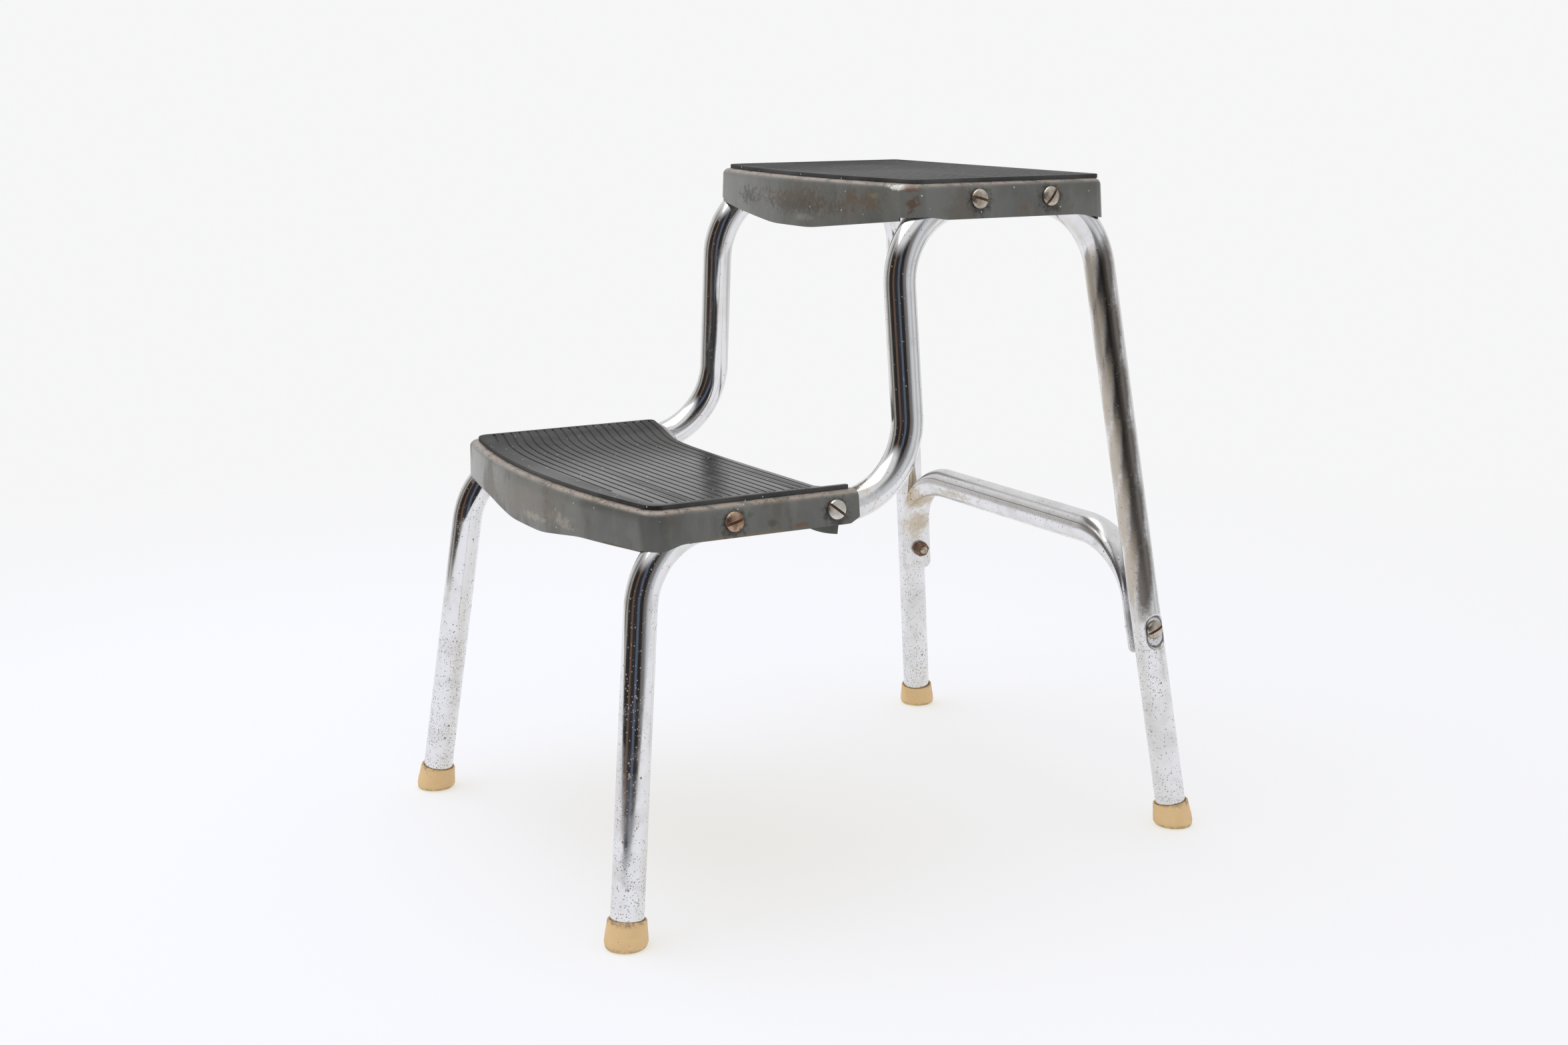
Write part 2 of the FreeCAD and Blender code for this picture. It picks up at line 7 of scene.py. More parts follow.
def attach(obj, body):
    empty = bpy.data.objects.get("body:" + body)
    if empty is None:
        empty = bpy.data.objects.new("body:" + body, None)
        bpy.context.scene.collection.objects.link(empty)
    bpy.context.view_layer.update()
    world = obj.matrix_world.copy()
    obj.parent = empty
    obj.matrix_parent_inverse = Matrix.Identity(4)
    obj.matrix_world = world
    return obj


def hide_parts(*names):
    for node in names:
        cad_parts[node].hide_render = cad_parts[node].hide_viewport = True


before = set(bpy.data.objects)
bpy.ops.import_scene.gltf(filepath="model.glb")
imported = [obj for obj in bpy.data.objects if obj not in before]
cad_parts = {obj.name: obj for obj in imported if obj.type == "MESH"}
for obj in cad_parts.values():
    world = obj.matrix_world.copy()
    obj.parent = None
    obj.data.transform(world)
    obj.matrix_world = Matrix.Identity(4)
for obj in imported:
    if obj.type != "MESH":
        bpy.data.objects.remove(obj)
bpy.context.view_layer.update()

print("frame loaded:", len(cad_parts), "nodes")

# measures that several pieces share, in metres
stool = {
    "frontY": -0.2261,
    "footX": 0.1765,
    "splay": math.radians(6.02),
    "tubeRadius": 0.0111,
    "sheet": 0.0012,
    "lowerTop": 0.2793,
    "upperTop": 0.4784,
    "lowerRun": 0.2670,
    "upperRun": 0.4661,
    "depth": 0.4522,
    "rearLean": 0.0574,
}
# the treads' screws on each side: tread, end, place behind the front feet and height
treadScrews = (
    ("lower", "Front", 0.0898, stool["lowerRun"]), ("lower", "Rear", 0.1664, stool["lowerRun"]),
    ("upper", "Front", 0.2915, stool["upperRun"]), ("upper", "Rear", 0.3512, stool["upperRun"]),
)
outward = Vector((math.cos(stool["splay"]), 0.0, math.sin(stool["splay"])))
upAxis = Vector((0.0, 0.0, 1.0))
alongAxis = Vector((0.0, 1.0, 0.0))
origin = (0.0, 0.0, 0.0)


def planeX(z):
    return stool["footX"] - math.tan(stool["splay"]) * z


def framePoint(back, z):
    return Vector((planeX(z), stool["frontY"] + back, z))


def smooth(t):
    t = max(0.0, min(1.0, t))
    return t * t * (3 - 2 * t)


def around(centre, a, b, radius, sides):
    # points on a circle in the plane of two unit vectors
    angles = [2 * math.pi * i / sides for i in range(sides)]
    return [centre + (a * math.cos(angle) + b * math.sin(angle)) * radius for angle in angles]


def linked(name, data):
    item = bpy.data.objects.new(name, data)
    bpy.context.scene.collection.objects.link(item)
    return item


def meshOf(name, points, faces, sharpAngle=35):
    mesh = bpy.data.meshes.new(name)
    mesh.from_pydata([tuple(p) for p in points], [], faces)
    finishMesh(mesh, sharpAngle)
    return mesh


def finishMesh(mesh, sharpAngle=35):
    mesh.update()
    mesh.polygons.foreach_set("use_smooth", [True] * len(mesh.polygons))
    mesh.set_sharp_from_angle(angle=math.radians(sharpAngle))


def evaluatedMesh(item):
    bpy.context.view_layer.update()
    return bpy.data.meshes.new_from_object(item.evaluated_get(bpy.context.evaluated_depsgraph_get()))


def setLevels(mesh, name, values):
    # one number for each point, for the materials to read
    mesh.attributes.new(name, "FLOAT", "POINT").data.foreach_set("value", values)


def mergeDoubles(bm, mesh, reach):
    bmesh.ops.remove_doubles(bm, verts=bm.verts, dist=reach)
    bm.to_mesh(mesh)
    bm.free()


def ringFaces(ringCount, size, capped=True, start=0):
    faces = []
    for r in range(ringCount - 1):
        for i in range(size):
            j = (i + 1) % size
            a = start + r * size
            faces.append((a + i, a + j, a + size + j, a + size + i))
    if capped:
        last = start + (ringCount - 1) * size
        faces.append(tuple(start + i for i in reversed(range(size))))
        faces.append(tuple(last + i for i in range(size)))
    return faces


def addPiece(name, mesh, finishes, slotName, *nodes):
    # the second finish goes on the faces marked as lying in a screw's slot
    piece = linked(name, mesh)
    mesh.materials.clear()
    for finish in finishes:
        mesh.materials.append(finish)
    if "inSlot" in mesh.attributes:
        mesh.polygons.foreach_set("material_index", [item.value for item in mesh.attributes["inSlot"].data])
    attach(piece, "root")
    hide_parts(*nodes)


def addPair(name, mesh, right, left, slotName, node):
    # a piece on the right and its mirror image on the left, each with its finishes
    addPiece(name + "Right", mesh, right, slotName, node + "_right")
    copy = mesh.copy()
    copy.name = mesh.name + " left"
    for vertex in copy.vertices:
        vertex.co.x = -vertex.co.x
    copy.flip_normals()
    addPiece(name + "Left", copy, left, slotName, node + "_left")


def cutMesh(mesh, cutter):
    # exact boolean difference, with its result as a plain mesh
    body, tool = linked("body", mesh), linked("tool", cutter)
    step = body.modifiers.new("cut", "BOOLEAN")
    step.object = tool
    step.operation = "DIFFERENCE"
    step.solver = "EXACT"
    made = evaluatedMesh(body)
    for item in (body, tool):
        bpy.data.objects.remove(item)
    return made


# shader node helpers
def put(tree, kind, inputs=None, **settings):
    made = tree.nodes.new(kind)
    for key, value in settings.items():
        setattr(made, key, value)
    for key, value in (inputs or {}).items():
        feed(tree, made.inputs[key], value)
    return made


def feed(tree, socket, value):
    if isinstance(value, bpy.types.NodeSocket):
        tree.links.new(value, socket)
    else:
        socket.default_value = value


def maths(tree, operation, a, b=0.0):
    return put(tree, "ShaderNodeMath", {0: a, 1: b}, operation=operation).outputs[0]


def vectorMaths(tree, operation, a, b=origin):
    made = put(tree, "ShaderNodeVectorMath", {0: a, 1: b}, operation=operation)
    return made.outputs["Value" if operation in ("LENGTH", "DOT_PRODUCT") else "Vector"]


def remap(tree, value, low, high, start=0.0, end=1.0, kind="SMOOTHSTEP"):
    inputs = {0: value, 1: low, 2: high, 3: start, 4: end}
    return put(tree, "ShaderNodeMapRange", inputs, interpolation_type=kind).outputs[0]


def mixColour(tree, factor, a, b):
    made = put(tree, "ShaderNodeMix", data_type="RGBA", clamp_factor=True)
    for index, value in ((0, factor), (6, a), (7, b)):
        feed(tree, made.inputs[index], (*value, 1.0) if isinstance(value, tuple) else value)
    return made.outputs[2]


def mixValue(tree, factor, a, b):
    made = put(tree, "ShaderNodeMix", data_type="FLOAT", clamp_factor=True)
    for index, value in ((0, factor), (2, a), (3, b)):
        feed(tree, made.inputs[index], value)
    return made.outputs[0]


def highest(tree, first, *others):
    for other in others:
        first = maths(tree, "MAXIMUM", first, other)
    return first


def plus(tree, a, b):
    return maths(tree, "ADD", a, b)


def minus(tree, a, b):
    return maths(tree, "SUBTRACT", a, b)


def times(tree, first, *others):
    for other in others:
        first = maths(tree, "MULTIPLY", first, other)
    return first


def noiseOf(tree, vector, scale, detail=5.0, roughness=0.55, distortion=0.0):
    made = put(tree, "ShaderNodeTexNoise", {
        "Vector": vector, "Scale": scale, "Detail": detail, "Roughness": roughness, "Distortion": distortion})
    return made.outputs["Fac"]


def lay(tree, colour, mask, strength, shade):
    # a shade over a colour where the mask is, weakened to a strength
    return mixColour(tree, times(tree, mask, strength), colour, shade)


def stretched(tree, vector, scale):
    return put(tree, "ShaderNodeMapping", {"Vector": vector, "Scale": scale}).outputs[0]


def combined(tree, x, y, z):
    return put(tree, "ShaderNodeCombineXYZ", {0: x, 1: y, 2: z}).outputs[0]


def attribute(tree, name):
    return put(tree, "ShaderNodeAttribute", attribute_name=name).outputs["Fac"]


def edged(tree, value, edge, soft, start=0.0, end=1.0, kind="SMOOTHSTEP"):
    # changes from start to end where the value passes a soft edge
    return remap(tree, value, minus(tree, edge, soft), plus(tree, edge, soft), start, end, kind)


# shared effects: each group puts out one mask
def newGroup(name, inputs):
    tree = bpy.data.node_groups.new(name, "ShaderNodeTree")
    for label, value in inputs.items():
        kind = "NodeSocketFloat" if isinstance(value, float) else "NodeSocketVector"
        tree.interface.new_socket(label, in_out="INPUT", socket_type=kind).default_value = value
    tree.interface.new_socket("Mask", in_out="OUTPUT", socket_type="NodeSocketFloat")
    return tree, tree.nodes.new("NodeGroupInput").outputs, tree.nodes.new("NodeGroupOutput").inputs[0]


def coverEdge(tree, cover):
    # the noise level above which about that share of a surface lies
    return minus(tree, 0.72, times(tree, cover, 0.44))


def speckleGroup():
    # round specks of mixed size, thicker in some patches than in others
    tree, given, out = newGroup("speckles", {
        "Vector": origin, "Scale": 500.0, "Cover": 0.3, "Size": 0.35, "Patch": 0.5, "Seed": 0.0})
    moved = vectorMaths(tree, "ADD", given["Vector"], combined(tree, given["Seed"], given["Seed"], 0.37))
    cells = put(tree, "ShaderNodeTexVoronoi", {"Vector": moved, "Scale": given["Scale"], "Randomness": 1.0}).outputs
    channels = put(tree, "ShaderNodeSeparateColor", {0: cells["Color"]}).outputs
    reach = times(tree, given["Size"], plus(tree, channels[0], 0.25))
    inside = remap(tree, cells["Distance"], reach, times(tree, reach, 0.55))
    patches = remap(tree, noiseOf(tree, moved, 22.0, 3.0), 0.38, 0.62, 0.0, 2.0)
    share = times(tree, given["Cover"], mixValue(tree, given["Patch"], 1.0, patches))
    feed(tree, out, times(tree, inside, maths(tree, "LESS_THAN", channels[1], share)))
    return tree


def stainGroup():
    # soft-edged cloudy patches
    tree, given, out = newGroup("stains", {
        "Vector": origin, "Scale": 20.0, "Cover": 0.4, "Softness": 0.12, "Grain": 0.6, "Seed": 0.0})
    moved = vectorMaths(tree, "ADD", given["Vector"], combined(tree, given["Seed"], 0.11, given["Seed"]))
    cloud = noiseOf(tree, moved, given["Scale"], 8.0, given["Grain"], 0.4)
    feed(tree, out, edged(tree, cloud, coverEdge(tree, given["Cover"]), given["Softness"]))
    return tree


def streakGroup():
    # long thin marks along the direction in which the vector is squeezed
    tree, given, out = newGroup("streaks", {
        "Vector": origin, "Squeeze": (1.0, 1.0, 0.05), "Scale": 120.0, "Cover": 0.4, "Softness": 0.08})
    drawn = vectorMaths(tree, "MULTIPLY", given["Vector"], given["Squeeze"])
    lines = noiseOf(tree, drawn, given["Scale"], 4.0, 0.6, 0.15)
    feed(tree, out, edged(tree, lines, coverEdge(tree, given["Cover"]), given["Softness"], kind="LINEAR"))
    return tree


def bandGroup():
    # one where the value lies between low and high
    tree, given, out = newGroup("band", {"Value": 0.0, "Low": 0.0, "High": 1.0, "Soft": 0.001})
    rise = edged(tree, given["Value"], given["Low"], given["Soft"])
    fall = edged(tree, given["Value"], given["High"], given["Soft"], 1.0, 0.0)
    feed(tree, out, times(tree, rise, fall))
    return tree


def spotGroup():
    # a ragged patch round one place
    tree, given, out = newGroup("place spot", {
        "Vector": origin, "Centre": origin, "Reach": (0.01, 0.01, 0.01), "Ragged": 0.5, "Grain": 250.0})
    offset = vectorMaths(tree, "SUBTRACT", given["Vector"], given["Centre"])
    distance = vectorMaths(tree, "LENGTH", vectorMaths(tree, "DIVIDE", offset, given["Reach"]))
    wobble = minus(tree, noiseOf(tree, given["Vector"], given["Grain"], 6.0, 0.72), 0.5)
    distance = plus(tree, distance, times(tree, wobble, given["Ragged"], 4.0))
    feed(tree, out, remap(tree, distance, 1.0, 0.45))
    return tree


speckles, stains, streaks, band, placeSpot = speckleGroup(), stainGroup(), streakGroup(), bandGroup(), spotGroup()


def useGroup(tree, group, vector, **values):
    made = put(tree, "ShaderNodeGroup", node_tree=group)
    feed(tree, made.inputs[0], vector)
    for key, value in values.items():
        feed(tree, made.inputs[key.capitalize()], value)
    return made.outputs[0]


def newMaterial(name):
    material = bpy.data.materials.new(name)
    material.use_nodes = True
    tree = material.node_tree
    place = put(tree, "ShaderNodeTexCoord").outputs["Object"]
    return material, tree, place, put(tree, "ShaderNodeSeparateXYZ", {0: place}).outputs


def filledShader(material, values, height, bumpValues):
    # feeds a material's shader with its values and with a bump from a height
    tree = material.node_tree
    distance, strength = bumpValues
    bump = put(tree, "ShaderNodeBump", {"Height": height, "Distance": distance, "Strength": strength})
    for label, value in {**values, "Normal": bump.outputs[0]}.items():
        feed(tree, tree.nodes["Principled BSDF"].inputs[label], value)
    return material


def addMarks(tree, place, marks, colour):
    # lays single marks over a colour and also returns where they lie
    total = 0.0
    for shade, centre, reach, strength, *ragged in marks:
        mark = useGroup(tree, placeSpot, place, centre=centre, reach=reach, ragged=ragged[0] if ragged else 0.5)
        mark = times(tree, mark, strength)
        colour = mixColour(tree, mark, colour, shade)
        total = highest(tree, mark, total)
    return colour, total


chromeValues = {
    "colour": (0.80, 0.80, 0.81),
    "pitColour": (0.16, 0.14, 0.13),
    "rustColour": (0.26, 0.14, 0.07),
    "haze": (0.56, 0.55, 0.53),
    "tint": (0.62, 0.52, 0.40),
    "seamColour": (0.05, 0.04, 0.035),
    "seatRimShadeColour": (0.07, 0.05, 0.035),
    "roughness": 0.085,
    "braceRoughness": 0.22,
    "darkReflectionRoughness": 0.24,
    "markedRoughness": 0.42,
    "lineRoughness": 0.5,
    "pitRoughness": 0.55,
    # distance and strength
    "bump": (0.00012, 0.6),
    "pitScale": 820.0,
    "legPits": 0.55,
    # the brace's seam: the angle round the tube where it starts and ends
    "seam": (-1.05, -1.015),
    # single marks: colour, centre, reach, strength and raggedness
    "marks": (
        ((0.48, 0.36, 0.20), (0.1479, -0.0310, 0.2725), (0.013, 0.011, 0.010), 0.8),
    ),
    "braceMarks": (
        ((0.50, 0.38, 0.20), (-0.1330, 0.1980, 0.2020), (0.026, 0.022, 0.020), 0.75, 0.3),
        ((0.52, 0.41, 0.24), (-0.1500, 0.2020, 0.1750), (0.014, 0.020, 0.022), 0.65, 0.3),
        ((0.44, 0.34, 0.20), (-0.0700, 0.1880, 0.2120), (0.030, 0.008, 0.004), 0.45, 0.8),
    ),
    # painted reflections along the rear leg, a tan streak that is partly patina and a dark brown streak: heights, then
    # colour, side it faces, strength and reach
    "legHeights": (0.193, 0.236, 0.279, 0.322, 0.365, 0.408),
    "legTanPatinaAndReflection": ((0.46, 0.38, 0.27), (0.21, -0.98), 0.65, (0.0075, 0.0060, 0.045)),
    "legDarkReflection": ((0.115, 0.095, 0.075), (0.95, -0.31), 0.88, (0.0090, 0.0085, 0.045)),
    "legOffset": 0.011,
    "legRagged": 0.12,
}


# streaks of painted reflection down one side of the rear leg, one mark at each height
def legReflectionStreaks(shade, facing, strength, reach):
    v = chromeValues
    made = []
    for z in v["legHeights"]:
        leg = framePoint(stool["depth"] - stool["rearLean"] * z / stool["upperRun"], z)
        centre = (leg.x + v["legOffset"] * facing[0], leg.y + v["legOffset"] * facing[1], z)
        made.append((shade, centre, reach, strength, v["legRagged"]))
    return tuple(made)


def chromeFinish(name, marksAndTanReflections, darkReflections, roughness, seamed=False):
    material, tree, place, axes = newMaterial(name)
    v = chromeValues
    low = remap(tree, axes[2], 0.30, 0.05)
    cover = plus(tree, 0.05, times(tree, low, v["legPits"]))
    pits = useGroup(tree, speckles, place, scale=v["pitScale"], cover=cover, size=0.42, patch=0.7)
    dots = useGroup(tree, speckles, place, scale=300.0, cover=times(tree, cover, 0.22), size=0.3, patch=0.9,
                    seed=3.1)
    haze = useGroup(tree, stains, place, scale=46.0, cover=plus(tree, 0.30, times(tree, low, 0.18)), softness=0.14)
    brown = useGroup(tree, stains, stretched(tree, place, (1.0, 1.0, 0.35)), scale=34.0, cover=0.16,
                     softness=0.10, seed=1.7)
    marks = highest(tree, pits, dots)
    colour = lay(tree, v["colour"], haze, 0.40, v["haze"])
    colour = lay(tree, colour, brown, 0.35, v["tint"])
    # painted dark reflection streaks on the rear leg
    colour, darkReflectionMask = addMarks(tree, place, darkReflections, colour)
    # the given marks of residue, and on the rear leg a tan streak of patina and painted reflection
    colour, residueAndPaintedLight = addMarks(tree, place, marksAndTanReflections, colour)
    colour = lay(tree, colour, pits, 0.8, v["pitColour"])
    colour = lay(tree, colour, dots, 0.85, v["rustColour"])
    rough = plus(tree, roughness, times(tree, haze, 0.10))
    rough = mixValue(tree, darkReflectionMask, rough, v["darkReflectionRoughness"])
    rough = mixValue(tree, residueAndPaintedLight, rough, v["markedRoughness"])
    rough = mixValue(tree, marks, plus(tree, rough, times(tree, brown, 0.08)), v["pitRoughness"])
    metal = minus(tree, 1.0, times(tree, highest(tree, marks, residueAndPaintedLight), 0.6))
    if seamed:
        line = useGroup(tree, band, attribute(tree, "turn"), low=v["seam"][0], high=v["seam"][1], soft=0.012)
    else:
        # the rear leg's seat gets a dark line round its edge: dirt and painted shade
        line = attribute(tree, "rim")
    colour = lay(tree, colour, line, 0.85, v["seamColour" if seamed else "seatRimShadeColour"])
    rough = mixValue(tree, line, rough, v["lineRoughness"])
    height = minus(tree, times(tree, noiseOf(tree, place, 45.0, 2.0), 0.25), times(tree, marks, 0.5))
    return filledShader(material, {"Base Color": colour, "Roughness": rough, "Metallic": metal}, height, v["bump"])


enamelValues = {
    "dark": (0.082, 0.084, 0.077),
    "light": (0.132, 0.134, 0.125),
    "worn": (0.33, 0.27, 0.23),
    "rust": (0.15, 0.075, 0.035),
    "brown": (0.080, 0.060, 0.040),
    "runs": (0.24, 0.24, 0.22),
    "dust": (0.60, 0.60, 0.57),
    "roughness": 0.20,
    "dirtyRoughness": 0.42,
    "rustRoughness": 0.7,
    "specular": 0.55,
    "bump": (0.0008, 0.5),
    # the worn edge: from below the tread's top to above it, and its softness
    "wornEdge": (-0.0017, 0.01, 0.0011),
    # single marks: colour, centre, reach, strength and raggedness
    "marks": (
        ((0.035, 0.032, 0.028), (-0.0700, 0.0000, 0.4613), (0.0190, 0.008, 0.0075), 0.80, 1.1),
        ((0.085, 0.060, 0.038), (0.0150, -0.0030, 0.4620), (0.0600, 0.010, 0.0085), 0.85, 1.5),
        ((0.055, 0.046, 0.036), (0.0050, -0.0030, 0.4580), (0.0340, 0.010, 0.0060), 0.70, 1.3),
        ((0.105, 0.072, 0.042), (0.0900, 0.0020, 0.4650), (0.0260, 0.009, 0.0070), 0.75, 1.4),
        ((0.200, 0.150, 0.070), (0.1014, 0.0040, 0.4696), (0.0060, 0.006, 0.0020), 0.60, 1.0),
        ((0.095, 0.055, 0.030), (0.1345, 0.0155, 0.4650), (0.0045, 0.006, 0.0075), 0.85, 0.8),
        # a pale patch at the upper tread's front right corner, worn bare metal with a painted highlight
        ((0.620, 0.600, 0.560), (0.1240, 0.0090, 0.4762), (0.0130, 0.008, 0.0026), 0.90, 0.6),
        ((0.130, 0.070, 0.040), (0.1330, 0.0140, 0.4757), (0.0070, 0.007, 0.0028), 0.80, 1.0),
        ((0.150, 0.135, 0.110), (-0.1185, 0.0070, 0.4545), (0.0060, 0.008, 0.0040), 0.55, 0.9),
        # a paler patch near the lower edge of the upper front skirt, a painted reflection
        ((0.260, 0.250, 0.220), (0.0187, -0.0030, 0.4504), (0.0120, 0.008, 0.0030), 0.40, 1.0),
        ((0.165, 0.130, 0.095), (-0.0100, -0.2160, 0.2620), (0.1000, 0.012, 0.0130), 0.50, 1.1),
        ((0.330, 0.290, 0.220), (0.0142, -0.2153, 0.2527), (0.0180, 0.008, 0.0035), 0.55, 1.2),
        ((0.330, 0.290, 0.220), (0.0600, -0.2127, 0.2574), (0.0120, 0.008, 0.0050), 0.50, 1.2),
        ((0.090, 0.055, 0.030), (0.1250, -0.2030, 0.2523), (0.0260, 0.010, 0.0020), 0.80, 0.8),
        ((0.075, 0.085, 0.045), (0.1602, -0.1245, 0.2717), (0.0080, 0.004, 0.0022), 0.70),
        ((0.060, 0.045, 0.030), (0.1610, -0.1077, 0.2643), (0.0080, 0.005, 0.0030), 0.70),
        ((0.130, 0.070, 0.030), (0.1613, -0.0868, 0.2611), (0.0080, 0.007, 0.0020), 0.80),
        ((0.170, 0.125, 0.060), (0.1615, -0.1275, 0.2585), (0.0080, 0.040, 0.0016), 0.70),
        ((0.130, 0.070, 0.030), (0.1403, 0.1027, 0.4603), (0.0080, 0.006, 0.0020), 0.80),
        ((0.075, 0.085, 0.045), (0.1390, 0.0727, 0.4730), (0.0080, 0.004, 0.0016), 0.70),
    ),
    # dirt and painted contact shadow round the screws: colour, distance from the tube's axis, reach and strength
    "screwGrimeAndShadow": ((0.022, 0.017, 0.012), 0.0125, (0.012, 0.0118, 0.0118), 0.85),
}


def enamelFinish(name):
    material, tree, place, axes = newMaterial(name)
    v = enamelValues
    cloud = noiseOf(tree, stretched(tree, place, (1.0, 1.0, 0.7)), 16.0, 6.0, 0.6)
    colour = mixColour(tree, remap(tree, cloud, 0.32, 0.68), v["dark"], v["light"])
    runs = useGroup(tree, streaks, place, squeeze=(1.0, 1.0, 0.16), scale=70.0, cover=0.22, softness=0.10)
    colour = lay(tree, colour, runs, 0.22, v["runs"])
    grime = useGroup(tree, stains, stretched(tree, place, (1.0, 1.0, 0.6)), scale=34.0, cover=0.34,
                     softness=0.09, grain=0.68, seed=0.6)
    colour = lay(tree, colour, grime, 0.55, v["brown"])
    below, above, soft = v["wornEdge"]
    edge = highest(tree, *(useGroup(tree, band, axes[2], low=top + below, high=top + above, soft=soft)
                           for top in (stool["lowerTop"], stool["upperTop"])))
    wear = times(tree, edge, useGroup(tree, stains, place, scale=95.0, cover=0.62, softness=0.10, grain=0.7))
    colour = lay(tree, colour, wear, 0.75, v["worn"])
    # stains and rust marks, with a painted highlight at the upper tread's corner and a painted reflection near its
    # front skirt's lower edge
    colour, residueAndPaintedLight = addMarks(tree, place, v["marks"], colour)
    flecks = useGroup(tree, speckles, place, scale=420.0, cover=0.5, size=0.45, patch=0.8, seed=2.2)
    rustSpots = times(tree, edge, flecks)
    colour = lay(tree, colour, rustSpots, 0.85, v["rust"])
    # dark rings round the screws' heads: grime and painted contact shadow
    folded = combined(tree, maths(tree, "ABSOLUTE", axes[0]), axes[1], axes[2])
    shade, offset, reach, strength = v["screwGrimeAndShadow"]
    rings = tuple((shade, (planeX(z) + offset, stool["frontY"] + back, z), reach, strength)
                  for tread, end, back, z in treadScrews)
    colour, dirtAndShade = addMarks(tree, folded, rings, colour)
    dust = useGroup(tree, speckles, place, scale=360.0, cover=0.045, size=0.25, patch=0.3, seed=5.0)
    colour = lay(tree, colour, dust, 0.85, v["dust"])
    dirty = times(tree, highest(tree, wear, grime, residueAndPaintedLight, dirtAndShade), 0.8)
    rough = mixValue(tree, dirty, v["roughness"], v["dirtyRoughness"])
    rough = mixValue(tree, rustSpots, rough, v["rustRoughness"])
    height = plus(tree, noiseOf(tree, place, 24.0, 3.0), times(tree, noiseOf(tree, place, 700.0, 3.0), 0.03))
    height = minus(tree, height, times(tree, rustSpots, 0.1))
    return filledShader(material, {"Base Color": colour, "Roughness": rough, "Specular IOR Level": v["specular"]},
                        height, v["bump"])


rubberValues = {
    "dark": (0.016, 0.016, 0.017),
    "pale": (0.048, 0.048, 0.047),
    "dust": (0.45, 0.45, 0.43),
    "shiny": 0.13,
    "dull": 0.80,
    # where the shine begins and ends across the lower mat, and its share on the upper mat
    "shineFrom": -0.10,
    "shineTo": 0.09,
    "upperShine": 0.55,
    "bump": (0.0014, 0.6),
    "flecks": (
        ((0.60, 0.60, 0.56), (0.0955, -0.2085, 0.2820), (0.0022, 0.004, 0.0010), 0.9),
        ((0.60, 0.60, 0.56), (0.0568, -0.2130, 0.2823), (0.0016, 0.004, 0.0009), 0.9),
    ),
}


def blackRubberFinish(name):
    # trodden rubber shines more towards the right
    material, tree, place, axes = newMaterial(name)
    v = rubberValues
    worn = useGroup(tree, stains, place, scale=24.0, cover=0.45, softness=0.16)
    dust = useGroup(tree, speckles, place, scale=380.0, cover=0.06, size=0.3, patch=0.8, seed=1.0)
    colour = lay(tree, mixColour(tree, worn, v["dark"], v["pale"]), dust, 0.7, v["dust"])
    colour = addMarks(tree, place, v["flecks"], colour)[0]
    grain = noiseOf(tree, place, 900.0, 3.0)
    aside = plus(tree, axes[0], times(tree, noiseOf(tree, place, 9.0, 2.0), 0.10))
    trodden = remap(tree, aside, v["shineFrom"], v["shineTo"])
    trodden = times(tree, trodden, remap(tree, axes[2], 0.35, 0.40, 1.0, v["upperShine"]))
    rough = plus(tree, mixValue(tree, trodden, v["dull"], v["shiny"]), times(tree, worn, 0.10))
    rough = plus(tree, rough, times(tree, grain, 0.06))
    rolling = noiseOf(tree, stretched(tree, place, (1.0, 0.25, 1.0)), 16.0, 2.0)
    height = plus(tree, times(tree, grain, 0.05), rolling)
    return filledShader(material, {"Base Color": colour, "Roughness": rough}, height, v["bump"])


footValues = {
    "colour": (0.73, 0.51, 0.26),
    "deep": (0.60, 0.39, 0.18),
    # dirt and painted shade near the sole and the top rim
    "dirtAndShade": (0.18, 0.13, 0.09),
    "specks": (0.28, 0.17, 0.09),
    "roughness": 0.5,
    "subsurface": 0.15,
    "subsurfaceScale": 0.004,
    "bump": (0.0001, 0.5),
}


def tanRubberFinish(name):
    material, tree, place, axes = newMaterial(name)
    v = footValues
    cloud = useGroup(tree, stains, place, scale=60.0, cover=0.40, softness=0.2)
    colour = lay(tree, v["colour"], cloud, 0.5, v["deep"])
    # darker near the sole and the top rim: dirt and painted shade where the cap meets the floor and the tube
    sole = highest(tree, remap(tree, axes[2], 0.004, 0.0005), remap(tree, axes[2], 0.0155, 0.0185))
    dirtAndShade = times(tree, sole, useGroup(tree, stains, place, scale=260.0, cover=0.55, softness=0.15, seed=0.9))
    colour = lay(tree, colour, dirtAndShade, 0.65, v["dirtAndShade"])
    specks = useGroup(tree, speckles, place, scale=500.0, cover=0.12, size=0.3, patch=0.4, seed=4.0)
    colour = lay(tree, colour, specks, 0.5, v["specks"])
    grain = noiseOf(tree, place, 700.0, 4.0)
    return filledShader(material, {
        "Base Color": colour, "Roughness": plus(tree, v["roughness"], times(tree, grain, 0.15)),
        "Subsurface Weight": v["subsurface"], "Subsurface Scale": v["subsurfaceScale"]}, grain, v["bump"])


steelValues = {
    "roughness": 0.26,
    "rustRoughness": 0.7,
    "rust": (0.16, 0.07, 0.03),
    "bump": (0.00012, 0.6),
    # colour, tarnish and share of rust of each kind
    "screw": ((0.60, 0.55, 0.48), (0.36, 0.30, 0.24), 0.22),
    "rustyScrew": ((0.50, 0.36, 0.27), (0.28, 0.17, 0.11), 0.36),
    "paleScrew": ((0.75, 0.73, 0.68), (0.60, 0.56, 0.50), 0.10),
    # the screws' slots: grime and painted shade in the recess
    "slot": ((0.05, 0.035, 0.025), (0.03, 0.02, 0.015), 0.9),
    "nut": ((0.40, 0.28, 0.20), (0.24, 0.14, 0.09), 0.62),
}


